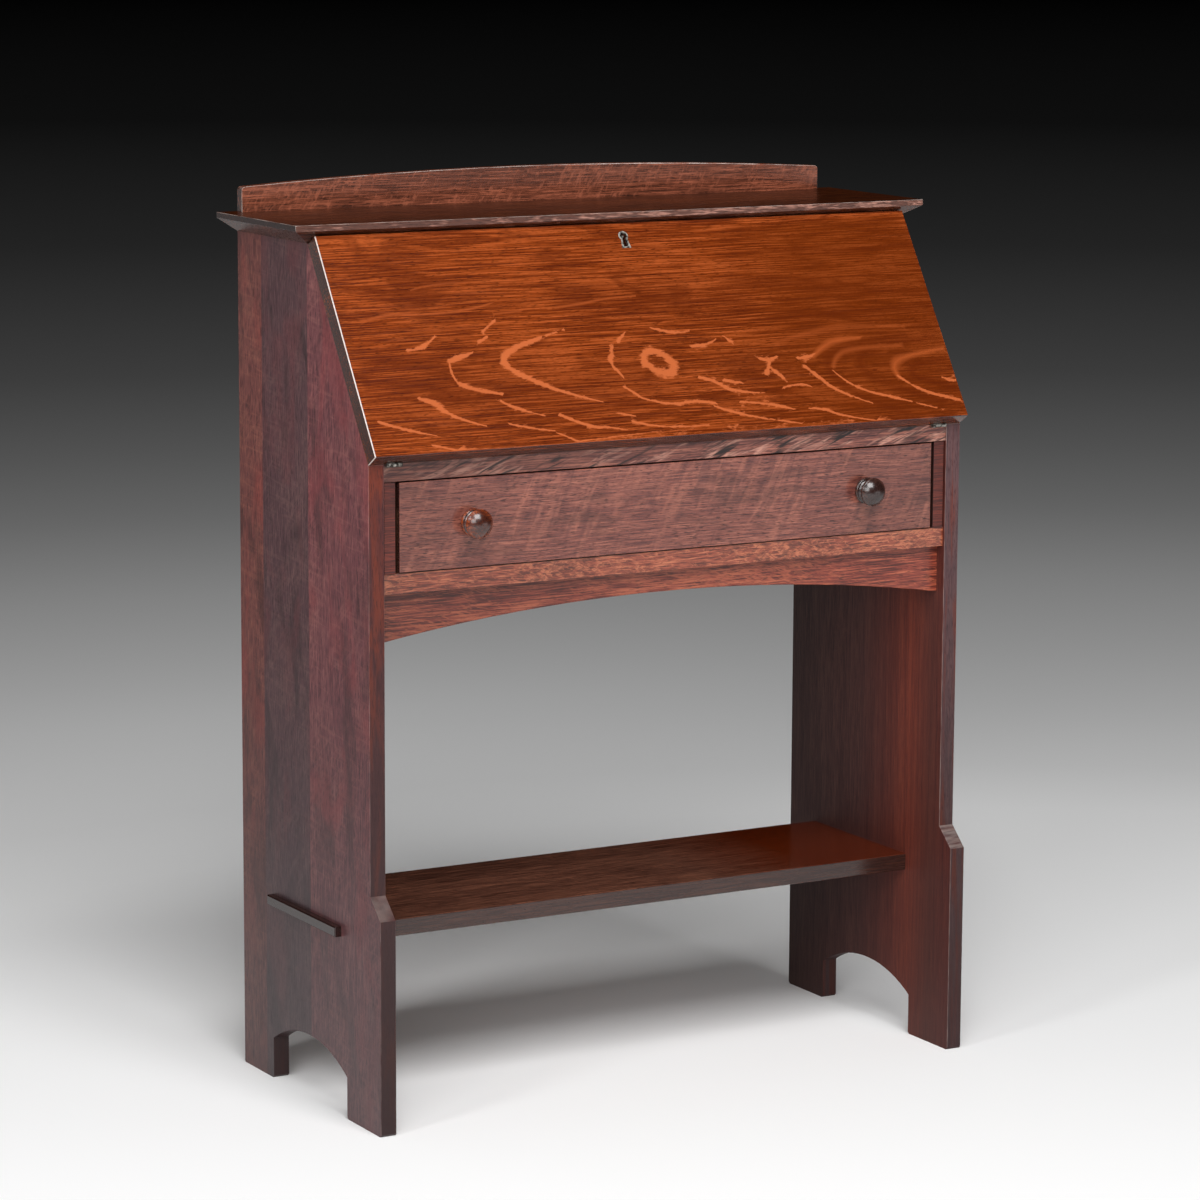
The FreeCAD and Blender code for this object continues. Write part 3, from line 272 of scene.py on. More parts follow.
def left_arris_highlight(tree, place, parts, worn):
    """Up to worn along the fall's left arris: a painted highlight where the lamp at the left catches it."""
    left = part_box("fall_board")[0][0]
    wide = bpy.context.scene.desk_woods.highlight_width
    across = add_node(tree, "ShaderNodeSeparateXYZ", {"Vector": place}).outputs["X"]
    strip = add_node(tree, "ShaderNodeMapRange", {
        "Value": across, "From Min": left + wide, "From Max": left + 0.6 * wide, "To Max": worn})
    off_end = add_node(tree, "ShaderNodeMapRange", {"Value": parts["X"], "From Min": 0.95, "From Max": 0.8})
    return add_node(tree, "ShaderNodeMath", {0: strip, 1: off_end}, operation="MULTIPLY")


def only_on(tree, share, parts, faces):
    """Keeps a share to the faces that look along the given axes."""
    for axis in [each for each in "XYZ" if each not in faces]:
        share = add_node(tree, "ShaderNodeMapRange", {
            "Value": parts[axis], "From Min": 0.9, "From Max": 0.7, "To Max": share})
    return share


def stave_and_light_tints(tree, place, blending, staves):
    """The tint of each glued strip of a board by where it starts across Y; blended smoothly, the tints paint
    light and shade.
    """
    low, high = cad_bounds[0][1], cad_bounds[1][1]
    across = add_node(tree, "ShaderNodeSeparateXYZ", {"Vector": place}).outputs["Y"]
    share = add_node(tree, "ShaderNodeMapRange", {"Value": across, "From Min": low, "From Max": high})
    tint = add_node(tree, "ShaderNodeValToRGB", {"Fac": share}, stops=[
        ((start * MM - low) / (high - low), linear(shade)) for start, shade in staves])
    tint.color_ramp.interpolation = blending
    return tint


def figure(tree, spot):
    """The fall's own figure as layers of colour: a calm end, soft shades and glows, and ragged ray flecks."""
    woods = bpy.context.scene.desk_woods
    layers = []
    for name, shade in (("calm", woods.fall_calm), ("shade", woods.fall_deep), ("glow", woods.fall_pale)):
        share = add_node(tree, "ShaderNodeAttribute", attribute_name=name)
        layers.append((share.outputs["Fac"], shade, "MIX"))
    fleck = add_node(tree, "ShaderNodeAttribute", attribute_name="fleck").outputs["Fac"]
    for ragged, long, wide, detail in ((1.8, 6.0, 2.2, 3.0), (1.4, 26.0, 10.0, 2.0)):
        fleck = add_node(tree, "ShaderNodeMath", {
            0: marks(tree, spot, long, wide, detail=detail), 1: ragged, 2: fleck},
            operation="MULTIPLY_ADD")
    share = add_node(tree, "ShaderNodeMapRange", {
        "Value": fleck, "From Min": 1.62, "From Max": 2.1, "To Max": 0.9})
    layers.append((share, woods.fleck, "MIX"))
    return layers


# How a pattern turns so that it runs along an axis, in degrees.
GRAIN_TURNS = {"X": (0.0, 0.0, 0.0), "Y": (0.0, 0.0, -90.0), "Z": (0.0, 90.0, 0.0)}
# How far one seed, and one stave's tint, move the grain in millimetres, so that no two boards match.
SEED_SHIFT = Vector((997.0, 613.0, 409.0))
STAVE_SHIFT = (3000.0, 7000.0, 5000.0)
# Sizes in the oak in millimetres, along and across the grain: the lines' slow wander, broad clouds and
# streaks, patches that break up the flakes, and the depth of its pores.
WANDER_LENGTH = 160.0
WANDER_REACH = (0.0, 3.0, 3.0)
CLOUD = (240.0, 60.0)
STREAK_LENGTH = 60.0
PATCH = (110.0, 70.0)
PORE_DEPTH = 0.2
OAK_IOR = 1.5
WAX_ROUGHNESS = 0.15
# Size of the blotches of tarnish on the metal in millimetres.
AGE_SPOT = 4.0


def oak(name, wood, along="X", streak=45.0, spread=0.11, edges=None, flakes=(), staves=(), feet=(),
        glows=(), dark_ends_and_shade=(), pored=0.7, seed=1, roughness=0.34, gloss=0.5, coat=0.3, in_fall=False,
        worn=0.0):
    """Fumed, stained and waxed oak: fine lines along the grain, dark pores, ray flakes and a soft sheen.

    wood says which of the woods' colours it has. streak is the length of the grain's fine lines in
    millimetres, and spread is how far the grain's tone strays before it is fully dark or pale. edges gives
    the colour of the ends and edges by the axis that they face along; where such edges lie in gaps or face
    away from the light, the dark colour is partly painted shade. Each of the flakes has a colour, a length
    and a width in millimetres, a turn from the grain in degrees, how strongly it shows, and the axes of the
    faces that have it. staves lists the glued strips of an upright board for its left and its right face:
    how one blends into the next, then where each starts across Y in millimetres, and its tint; on the right
    side's inner face the tints blend smoothly and paint light and shade. feet gives the colour at the floor
    and how strongly it shows there. Each of the glows has a colour, where along X it starts and where it is
    full, how strongly it shows, and the axes of the faces that have it; the shelf's glow is partly painted
    light. The dark_ends_and_shade are such glows in the colour of end grain on all faces: dark end grain,
    narrow lines of painted shade where boards meet the sides, and boards that grow darker towards one end.
    pored is how strongly the pores show, gloss is how strongly the wood mirrors, and worn is how far the
    arrises turn pale, partly by rubbing and partly as painted highlights.
    """
    woods = bpy.context.scene.desk_woods
    deep, main, pale = [getattr(woods, "%s_%s" % (wood, tone)) for tone in TONES]
    made, tree = new_material(name)
    texture = add_node(tree, "ShaderNodeTexCoord").outputs
    place, facing = texture["Object"], texture["Normal"]
    parts = facing_parts(tree, facing, in_fall)
    spot = add_node(tree, "ShaderNodeMapping", {
        "Vector": place, "Rotation": [math.radians(angle) for angle in GRAIN_TURNS[along]],
        "Scale": (1 / MM, 1 / MM, 1 / MM), "Location": seed * SEED_SHIFT})
    tints = [stave_and_light_tints(tree, place, *strips) for strips in staves]
    if tints:
        spot = add_node(tree, "ShaderNodeVectorMath", {
            0: tints[0], 1: STAVE_SHIFT, 2: spot}, operation="MULTIPLY_ADD")
    wander = add_node(tree, "ShaderNodeTexNoise", {"Vector": spot, "Scale": 1 / WANDER_LENGTH, "Detail": 1.0})
    spot = add_node(tree, "ShaderNodeVectorMath", {
        0: wander.outputs["Color"], 1: WANDER_REACH, 2: spot}, operation="MULTIPLY_ADD")

    pitch = woods.grain_pitch / MM
    tone = marks(tree, spot, *CLOUD)
    for share, long, wide in ((0.4, STREAK_LENGTH, 2.5 * pitch), (0.65, streak, pitch)):
        tone = add_node(tree, "ShaderNodeMix", {
            0: share, 2: tone, 3: marks(tree, spot, long, wide, detail=1.0)})
    body = add_node(tree, "ShaderNodeValToRGB", {"Fac": tone}, stops=[
        (0.5 - spread, deep), (0.5, main), (0.5 + spread, pale)])

    # Layers of colour over the grain, from the lowest: how strongly each shows, its colour and its blending.
    layers = []
    for axis, shade in (edges or {along: woods.end_grain_and_shade}).items():
        share = add_node(tree, "ShaderNodeMapRange", {
            "Value": parts[axis], "From Min": 0.5, "From Max": 0.9, "To Max": 0.85})
        layers.append((share, shade, "MIX"))
    for shade, long, wide, angle, strength, faces in flakes:
        turn = (0.0, 0.0, math.radians(angle)) if along == "Z" else (0.0, math.radians(angle), 0.0)
        cloud = add_node(tree, "ShaderNodeMix", {
            0: 0.35, 2: marks(tree, spot, long, wide, turn, distortion=0.8), 3: marks(tree, spot, *PATCH)})
        share = add_node(tree, "ShaderNodeMapRange", {
            "Value": cloud, "From Min": 0.51, "From Max": 0.62, "To Max": strength})
        layers.append((only_on(tree, share, parts, faces), shade, "MIX"))
    for tint, way in zip(tints, (-1.0, 1.0)):
        outward = add_node(tree, "ShaderNodeSeparateXYZ", {"Vector": facing}).outputs["X"]
        share = add_node(tree, "ShaderNodeMapRange", {"Value": outward, "From Max": way})
        layers.append((share, tint, "MULTIPLY"))
    if feet:
        shade, strength = feet
        height = add_node(tree, "ShaderNodeSeparateXYZ", {"Vector": place}).outputs["Z"]
        low = add_node(tree, "ShaderNodeMapRange", {
            "Value": height, "From Min": woods.dark_foot, "From Max": 0.0, "To Max": strength},
            interpolation_type="SMOOTHSTEP")
        # The edges turn darker still towards the floor.
        layers += [(low, shade, "MIX"), (only_on(tree, low, parts, "Y"), woods.end_grain_and_shade, "MIX")]
    # Dark ends: true end grain, narrow lines of painted shade where boards meet the sides, and boards darker
    # towards one end.
    dark = [(woods.end_grain_and_shade, *end, "XYZ") for end in dark_ends_and_shade]
    for shade, start, stop, strength, faces in [*glows, *dark]:
        across = add_node(tree, "ShaderNodeSeparateXYZ", {"Vector": place}).outputs["X"]
        share = add_node(tree, "ShaderNodeMapRange", {
            "Value": across, "From Min": start * MM, "From Max": stop * MM, "To Max": strength})
        layers.append((only_on(tree, share, parts, faces), shade, "MIX"))
    pores = add_node(tree, "ShaderNodeMapRange", {
        "Value": marks(tree, spot, woods.pore_length / MM, woods.pore_width / MM, detail=1.0),
        "From Min": 0.56, "From Max": 0.68, "To Max": pored})
    layers.append((pores, [0.4 * c for c in deep], "MIX"))
    if in_fall:
        layers += figure(tree, spot)
        # A painted highlight along the fall's left arris.
        layers.append((left_arris_highlight(tree, place, parts, worn), woods.arris, "MIX"))
    elif worn:
        # Pale arrises: partly worn, partly a painted highlight.
        layers.append((worn_and_lit_arrises(tree, spot, facing, parts, worn), woods.arris, "MIX"))
    for share, shade, blending in layers:
        body = add_node(tree, "ShaderNodeMix", {
            0: share, MIX_A: body, MIX_B: shade}, data_type="RGBA", blend_type=blending)

    relief = add_node(tree, "ShaderNodeMath", {0: pores, 1: -1.0, 2: tone}, operation="MULTIPLY_ADD")
    bump = add_node(tree, "ShaderNodeBump", {
        "Height": relief, "Strength": 0.15, "Distance": PORE_DEPTH * MM})
    sheen = add_node(tree, "ShaderNodeMapRange", {
        "Value": tone, "From Min": 0.3, "From Max": 0.7,
        "To Min": roughness + 0.06, "To Max": roughness - 0.06})
    # Dry wood whose wax has worn off has less gloss than its index says.
    shader = add_node(tree, "ShaderNodeBsdfPrincipled", {
        "Base Color": body, "Roughness": sheen, "Normal": bump, "IOR": OAK_IOR, "Specular IOR Level": gloss,
        "Coat Weight": coat, "Coat Roughness": WAX_ROUGHNESS})
    add_node(tree, "ShaderNodeOutputMaterial", {"Surface": shader})
    return made


def aged_metal(name, bright, tarnish, roughness):
    """Rolled metal, rubbed bright on the high places and dark with age in the low ones."""
    made, tree = new_material(name)
    place = add_node(tree, "ShaderNodeTexCoord").outputs["Object"]
    spot = add_node(tree, "ShaderNodeMapping", {"Vector": place, "Scale": (1 / MM, 1 / MM, 1 / MM)})
    age = marks(tree, spot, AGE_SPOT, AGE_SPOT, detail=4.0)
    mixed = add_node(tree, "ShaderNodeValToRGB", {"Fac": age}, stops=[(0.4, tarnish), (0.62, bright)])
    sheen = add_node(tree, "ShaderNodeMapRange", {
        "Value": age, "From Min": 0.3, "From Max": 0.7, "To Min": roughness + 0.2, "To Max": roughness - 0.1})
    shader = add_node(tree, "ShaderNodeBsdfPrincipled", {
        "Base Color": mixed, "Roughness": sheen, "Metallic": 1.0})
    add_node(tree, "ShaderNodeOutputMaterial", {"Surface": shader})
    return made


def finish(material, *names):
    """Gives CAD nodes their material."""
    for name in names:
        nodes[name].data.materials.clear()
        nodes[name].data.materials.append(material)


def both(*stems):
    return [stem + side for stem in stems for side in ("_left", "_right")]


def new_piece(name, mesh, body, slot, *replaced):
    """Links a finished mesh as a piece that rides on a body and stands for CAD nodes."""
    piece = bpy.data.objects.new(name, mesh)
    bpy.context.scene.collection.objects.link(piece)
    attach(piece, body)
    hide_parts(*replaced)


# Ray flecks of the fall: places in millimetres from the middle of the hinge line, x along it and y up the
# slope, and the fleck's half width there.
FLECKS = {
    "left flame": [(-112, 138, 1.0), (-172, 123, 4.2), (-203, 104, 5.4), (-172, 82, 4.2), (-128, 60, 2.8),
                   (-88, 48, 0.9)],
    "left hook, top": [(-261, 108, 3.8), (-248, 112, 4.2), (-230, 117, 1.4)],
    "left hook, back": [(-262, 104, 1.4), (-263, 94, 2.2), (-260, 85, 1.4)],
    "left hook, foot": [(-258, 82, 2.6), (-244, 72, 4.0), (-208, 65, 2.2)],
    "left tick": [(-308, 125, 3.0), (-290, 122, 4.0), (-270, 139, 0.9)],
    "left sweep": [(-310, 66, 2.8), (-293, 61, 5.6), (-277, 41, 3.2), (-238, 28, 0.9)],
    "left edge": [(-366, 42, 2.4), (-338, 30, 2.2), (-302, 21, 0.9)],
    "low left": [(-213, 57, 2.4), (-196, 45, 2.4), (-164, 36, 0.9)],
    "low middle": [(-146, 36, 2.4), (-110, 17, 2.2), (-90, 18, 2.0), (-68, 12, 0.9)],
    "low left, thin": [(-210, 29, 1.2), (-187, 22, 2.0), (-157, 17, 1.0)],
    "foot left": [(-309, 10, 2.4), (-281, 2, 1.2)],
    "foot middle": [(-156, 15, 1.2), (-131, 2, 1.8)],
    "upper dot": [(-209, 143, 2.0), (-192, 154, 2.2)],
    "lower dot": [(-219, 129, 2.8), (-207, 135, 2.2)],
    "before the eye, top": [(-34, 131, 1.2), (-47, 120, 3.2)],
    "before the eye, middle": [(-57, 111, 3.0), (-63, 97, 4.0)],
    "before the eye, foot": [(-62, 90, 3.0), (-54, 78, 2.0)],
    "under the eye": [(-55, 64, 2.2), (-40, 52, 1.4)],
    "eye, upper": [(-21, 90, 5.6), (-22, 103, 6.8), (-6, 107, 5.8), (12, 97, 5.6), (15, 86, 6.0)],
    "eye, lower": [(-21, 93, 5.6), (-14, 83, 6.2), (0, 77, 6.8), (13, 78, 7.0), (15, 88, 6.0)],
    "over the eye": [(-1, 135, 1.0), (32, 123, 2.6), (48, 128, 1.6)],
    "after the eye": [(45, 109, 3.0), (64, 107, 4.0), (79, 116, 0.9)],
    "small tick": [(90, 119, 0.9), (98, 111, 2.8)],
    "middle wave": [(42, 70, 2.4), (60, 66, 3.2), (80, 49, 2.6), (119, 46, 0.9)],
    "middle dash": [(74, 64, 2.8), (95, 60, 1.6)],
    "cross, cap": [(127, 89, 1.6), (138, 83, 3.6), (151, 90, 1.6)],
    "cross, left foot": [(139, 82, 2.6), (130, 68, 3.4)],
    "cross, right foot": [(137, 78, 2.4), (150, 64, 2.6)],
    "right dash": [(149, 51, 1.8), (172, 56, 2.8), (183, 50, 1.2)],
    "right flame, knot": [(178, 86, 2.6), (190, 85, 4.0), (203, 91, 1.0)],
    "right flame, lower": [(183, 76, 2.6), (196, 63, 3.0), (217, 40, 2.4), (258, 24, 1.0)],
    "inner flame, lower": [(219, 68, 0.9), (233, 50, 1.8), (265, 36, 1.8), (291, 29, 2.0), (349, 10, 0.9)],
    "last flame, lower": [(303, 56, 1.4), (318, 42, 2.6), (348, 28, 2.2), (380, 20, 2.2)],
    "last flame, end": [(364, 50, 1.0), (372, 45, 2.4), (380, 46, 1.6)],
    "low wave": [(-42, 51, 1.4), (-4, 37, 2.2), (26, 43, 3.2), (54, 37, 1.8)],
    "low wave, on": [(51, 34, 1.4), (74, 22, 2.2), (127, 11, 1.2)],
    "low wave, end": [(128, 11, 1.6), (157, 5, 1.0)],
    "right wave": [(86, 37, 1.4), (134, 31, 2.2), (152, 23, 1.2)],
    "right wave, on": [(172, 23, 1.4), (192, 22, 2.0), (210, 11, 1.8), (256, 2, 1.0)],
    "foot line": [(-58, 22, 1.2), (-38, 15, 2.0), (-1, 11, 1.8), (37, 11, 1.2)],
    "foot dash": [(-73, 33, 2.0), (-52, 28, 1.4)],
}
# Soft pale glows and soft dark shades, in the same way, after how strongly each shows.
GLOWS = {
    "long line": (0.7, [(-346, 163, 2.4), (-315, 170, 3.0), (-284, 165, 2.0), (-214, 169, 2.6),
                        (-192, 175, 1.6)]),
    "high line": (0.6, [(-190, 162, 1.8), (-157, 164, 2.2)]),
    "high right line": (0.7, [(-122, 165, 2.0), (-81, 168, 2.6), (-49, 174, 2.0), (-7, 175, 1.6)]),
    "top line": (0.5, [(-284, 196, 1.6), (-258, 204, 2.4), (-192, 202, 1.6)]),
    "right flame, upper": (0.8, [(198, 86, 4.0), (214, 99, 6.0), (240, 107, 6.0), (268, 107, 3.0)]),
    "inner flame, upper": (0.5, [(221, 72, 4.0), (226, 84, 5.0), (250, 95, 5.0), (318, 94, 3.0)]),
    "last flame, upper": (0.8, [(380, 87, 4.0), (334, 83, 5.0), (296, 72, 9.0), (304, 54, 4.0)]),
    "outer ring": (0.35, [(160, 108, 3.0), (196, 116, 6.0), (250, 124, 6.0), (330, 118, 3.0)]),
}
SHADES = {
    "in the right flame": (0.5, [(330, 108, 8.0), (232, 96, 10.0), (208, 78, 9.0), (232, 36, 9.0),
                                 (300, 8, 6.0)]),
    "in the inner flame": (0.5, [(380, 104, 8.0), (280, 98, 8.0), (252, 74, 10.0), (276, 46, 9.0),
                                 (380, 12, 6.0)]),
    "in the last flame": (0.6, [(380, 74, 6.0), (330, 70, 8.0), (320, 60, 8.0), (335, 48, 7.0),
                                (380, 36, 6.0)]),
    "upper right": (0.4, [(120, 190, 10.0), (240, 172, 16.0), (380, 160, 10.0)]),
    "over the right": (0.4, [(190, 224, 6.0), (290, 216, 9.0), (380, 222, 6.0)]),
    "middle right": (0.4, [(160, 140, 8.0), (260, 136, 12.0), (370, 142, 8.0)]),
    "upper left": (0.4, [(-360, 200, 8.0), (-300, 178, 14.0), (-210, 186, 8.0)]),
    "lower left": (0.35, [(-360, 80, 50.0), (-200, 70, 70.0), (-40, 60, 50.0)]),
    "upper middle": (0.45, [(-100, 176, 24.0), (20, 170, 40.0), (130, 160, 24.0)]),
    "first speck": (0.9, [(-24, 188, 1.8), (-20, 188, 1.8)]),
    "second speck": (0.9, [(-15, 170, 1.8), (-11, 169, 1.8)]),
    "third speck": (0.9, [(12, 141, 1.8), (16, 142, 1.8)]),
    "fourth speck": (0.9, [(273, 65, 2.2), (277, 65, 2.2)]),
    "fifth speck": (0.9, [(374, 142, 2.0), (379, 142, 2.0)]),
}
# Where the fall's grain starts to calm down towards its right end, where it is calm, and how far.
CALM_START = 60.0
CALM_END = 230.0
CALM_STRENGTH = 0.6
GRID_STEP = 11.0
SHARP_ANGLE = math.radians(30)
FLAT_COSINE = 0.9999


def stroke(points):
    """Points along a mark's smooth middle line, each with the half width there."""
    curve = bpy.data.curves.new("stroke", "CURVE")
    spline = curve.splines.new("NURBS")
    spline.points.add(len(points) - 1)
    for point, (across, up, _) in zip(spline.points, points):
        point.co = (across, up, 0.0, 1.0)
    spline.order_u = min(3, len(points))
    spline.use_endpoint_u = True
    guide = bpy.data.objects.new("stroke", curve)
    mesh = bpy.data.meshes.new_from_object(guide)
    run = [vertex.co.to_2d() for vertex in mesh.vertices]
    bpy.data.objects.remove(guide)
    bpy.data.curves.remove(curve)
    bpy.data.meshes.remove(mesh)
    line = []
    for number, spot in enumerate(run):
        passed = number / (len(run) - 1) * (len(points) - 1)
        before = min(int(passed), len(points) - 2)
        width, next_width = points[before][2], points[before + 1][2]
        line.append((spot, width + (next_width - width) * (passed - before)))
    return line


def depth_in(spot, strokes):
    """A mark's strength on its middle line, 0 at its edge and -1 well outside every mark."""
    best = -1.0
    for strength, line in strokes:
        room = 2 * max(width for _, width in line)
        low_x = min(point.x for point, _ in line) - room
        high_x = max(point.x for point, _ in line) + room
        if not low_x < spot.x < high_x:
            continue
        for (start, start_width), (end, end_width) in zip(line, line[1:]):
            run = end - start
            share = max(0.0, min(1.0, (spot - start).dot(run) / max(run.length_squared, 1e-9)))
            width = start_width + (end_width - start_width) * share
            best = max(best, strength * (1.0 - (spot - start - run * share).length / width))
    return best


def inside(spot, rim):
    """True where a point lies within the rim's loops, by counting crossings."""
    odd = False
    for start, end in rim:
        if (start.y > spot.y) != (end.y > spot.y):
            crossing = start.x + (spot.y - start.y) * (end.x - start.x) / (end.y - start.y)
            odd ^= crossing > spot.x
    return odd


def face_points(rim, strokes):
    """Points and edges that divide the fall's outer face: its rim, the marks' lines and edges, and a grid."""
    spots = []
    runs = []
    for start, end in rim:
        runs.append((len(spots), len(spots) + 1))
        spots += [start, end]
    extra = []
    for _, line in strokes:
        for index, (spot, width) in enumerate(line):
            before = line[max(index - 1, 0)][0]
            after = line[min(index + 1, len(line) - 1)][0]
            side = (after - before).orthogonal().normalized() * width
            extra += [spot, spot + side, spot - side]
    low = Vector((min(spot.x for spot in spots), min(spot.y for spot in spots)))
    high = Vector((max(spot.x for spot in spots), max(spot.y for spot in spots)))
    for column in range(1, int((high.x - low.x) / GRID_STEP)):
        for row in range(1, int((high.y - low.y) / GRID_STEP)):
            extra.append(low + Vector((column, row)) * GRID_STEP)
    return spots + [spot for spot in extra if inside(spot, rim)], runs


def figured_fall_mesh():
    """The fall with its outer face divided along the ray flecks, which are stored as attributes."""
    body = bmesh.new()
    body.from_mesh(nodes["fall_board"].data)
    bmesh.ops.remove_doubles(body, verts=body.verts, dist=0.001 * MM)
    body.transform(Matrix.Scale(1 / MM, 4) @ FALL_FRAME.inverted())
    face = max(vertex.co.z for vertex in body.verts)
    flat = {each for each in body.faces if all(abs(vertex.co.z - face) < 0.001 for vertex in each.verts)}
    rim = [tuple(vertex.co.to_2d() for vertex in edge.verts)
           for edge in body.edges if len(flat.intersection(edge.link_faces)) == 1]
    bmesh.ops.delete(body, geom=list(flat), context="FACES")
    layers = body.verts.layers.float
    fleck, glow, shade, calm = [layers.new(name) for name in ("fleck", "glow", "shade", "calm")]
    for vertex in body.verts:
        vertex[fleck] = -1.0

    flecks = [(1.0, stroke(mark)) for mark in FLECKS.values()]
    glows = [(strength, stroke(mark)) for strength, mark in GLOWS.values()]
    shades = [(strength, stroke(mark)) for strength, mark in SHADES.values()]
    spots, runs = face_points(rim, flecks + glows + shades)
    points, _, triangles, *_ = geometry.delaunay_2d_cdt(spots, runs, [], 0, 0.001)
    corners = []
    for point in points:
        corners.append(body.verts.new((point.x, point.y, face)))
        corners[-1][fleck] = depth_in(point, flecks)
        corners[-1][glow] = max(0.0, depth_in(point, glows))
        corners[-1][shade] = max(0.0, depth_in(point, shades))
        passed = min(max((point.x - CALM_START) / (CALM_END - CALM_START), 0.0), 1.0)
        corners[-1][calm] = CALM_STRENGTH * passed * passed * (3 - 2 * passed)
    for triangle in triangles:
        middle = sum((points[index] for index in triangle), Vector((0.0, 0.0))) / len(triangle)
        if inside(middle, rim):
            body.faces.new([corners[index] for index in triangle])
    bmesh.ops.delete(body, geom=[vertex for vertex in body.verts if not vertex.link_faces], context="VERTS")
    bmesh.ops.remove_doubles(body, verts=body.verts, dist=0.002)
    body.transform(FALL_FRAME @ Matrix.Scale(MM, 4))
    bmesh.ops.recalc_face_normals(body, faces=body.faces)
    for each in body.faces:
        each.smooth = True
    for edge in body.edges:
        flats = [each.normal.dot(OUT_OF_FALL) > FLAT_COSINE for each in edge.link_faces]
        edge.smooth = edge.calc_face_angle(0.0) < SHARP_ANGLE and flats[0] == flats[-1]
    mesh = bpy.data.meshes.new("fall_board_figured")
    body.to_mesh(mesh)
    body.free()
    return mesh


class DESK_OT_fall(bpy.types.Operator):
    """Makes the fall's figured face and polishes it"""
    bl_idname = "desk.fall"
    bl_label = "Fall"

    def execute(self, context):
        woods = context.scene.desk_woods
        mesh = figured_fall_mesh()
        # Cut along the rays and polished bright: warm brown lines under pale flecks, with a clear shine.
        # Its top and bottom edges take it too, partly as painted shade under the top's overhang and towards
        # the floor.
        # The fall's ends take the end-grain colour of true end grain.
        mesh.materials.append(oak(
            "Quarter-sawn oak, fall", "fall", in_fall=True, streak=90.0, spread=0.1, roughness=0.18, coat=0.2,
            worn=0.9, seed=1, edges={"X": woods.end_grain_and_shade, "Y": woods.end_grain_and_shade},
            flakes=[(woods.fall_pale, 90.0, 1.8, 1.0, 0.6, "XYZ"),
                    (woods.fall_deep, 80.0, 26.0, 3.0, 0.6, "XYZ")]))
        new_piece("fall_board_figured", mesh, "fall", "oak_fall", "fall_board")
        return {"FINISHED"}


class DESK_OT_case(bpy.types.Operator):
    """Polishes the sides, the top with its rail, and the low shelf"""
    bl_idname = "desk.case"
    bl_label = "Case boards"

    def execute(self, context):
        woods = context.scene.desk_woods
        # Fumed dark and dry on the outside: red and grey staves with faint curled flakes and little shine.
        strips = ("CONSTANT", [(-175, "#FFF4F4"), (-3, "#C0D2D5"), (113, "#FBE7CC")])
        finish(oak("Fumed oak, left side", "side", along="Z", streak=18.0, spread=0.22, seed=2, worn=0.12,
                   roughness=0.36, gloss=0.3, coat=0.0, feet=(woods.side_foot, 0.65),
                   edges={"Y": woods.side_edge, "Z": woods.end_grain_and_shade},
                   flakes=[(woods.side_pale, 60.0, 6.0, 84.0, 0.35, "X"),
                           (woods.side_pale, 60.0, 5.0, -51.0, 0.3, "X"),
                           (woods.side_deep, 130.0, 36.0, 6.0, 0.6, "X"),
                           (woods.side_red, 150.0, 60.0, 0.0, 0.5, "X"),
                           (woods.side_glow, 110.0, 14.0, 0.0, 0.7, "Y")],
                   staves=[strips, strips]), "side_panel_left")
        # On the right side's inner face the tints blend smoothly from front to back.
        # They are painted light at the front, lighter and redder where light reaches in, and painted shade,
        # darker towards the back.
        inner_light_and_shade = ("LINEAR", [(-175, "#BC957C"), (-130, "#B2A286"), (-85, "#E7B684"), (-30, "#BCA68C"),
                                   (20, "#A4AC9C"), (175, "#829A8C")])
        finish(oak("Fumed oak, right side", "inside", along="Z", streak=30.0, spread=0.12, seed=3, worn=0.2,
                   roughness=0.6, gloss=0.3, coat=0.0, feet=(woods.end_grain_and_shade, 0.5),
                   edges={"Y": woods.inside_edge, "Z": woods.end_grain_and_shade},
                   flakes=[(woods.inside_pale, 30.0, 5.0, 60.0, 0.3, "X"),
                           (woods.side_glow, 300.0, 9.0, 0.0, 0.9, "Y")],
                   staves=[inner_light_and_shade, strips]), "side_panel_right")
        # Waxed where hands and papers lie: nearly black brown, with a long soft shine.
        finish(oak("Fumed oak, top", "top", roughness=0.28, coat=0.0, worn=0.4, seed=4,
                   edges={"X": woods.end_grain_and_shade, "Y": woods.top_edge},
                   flakes=[(woods.bed_pale, 24.0, 3.0, 2.0, 0.6, "Y")]), "top_board")
        # Its top warms towards the right end: partly warmer wood, partly painted light that falls there.
        finish(oak("Fumed oak, shelf", "shelf", spread=0.16, roughness=0.18, coat=0.2, seed=5,
                   edges={"X": woods.end_grain_and_shade, "Y": woods.end_grain_and_shade},
                   glows=[(woods.shelf_tone_and_light, 100, 240, 0.95, "Z")],
                   dark_ends_and_shade=[(-380, -381, 0.9), (380, 381, 0.9)]), "shelf")
        finish(oak("Fumed oak, gallery", "rail", spread=0.18, seed=6, worn=0.5,
                   flakes=[(woods.rail_pale, 14.0, 4.0, -60.0, 0.6, "XYZ")]), "gallery_rail")
        return {"FINISHED"}


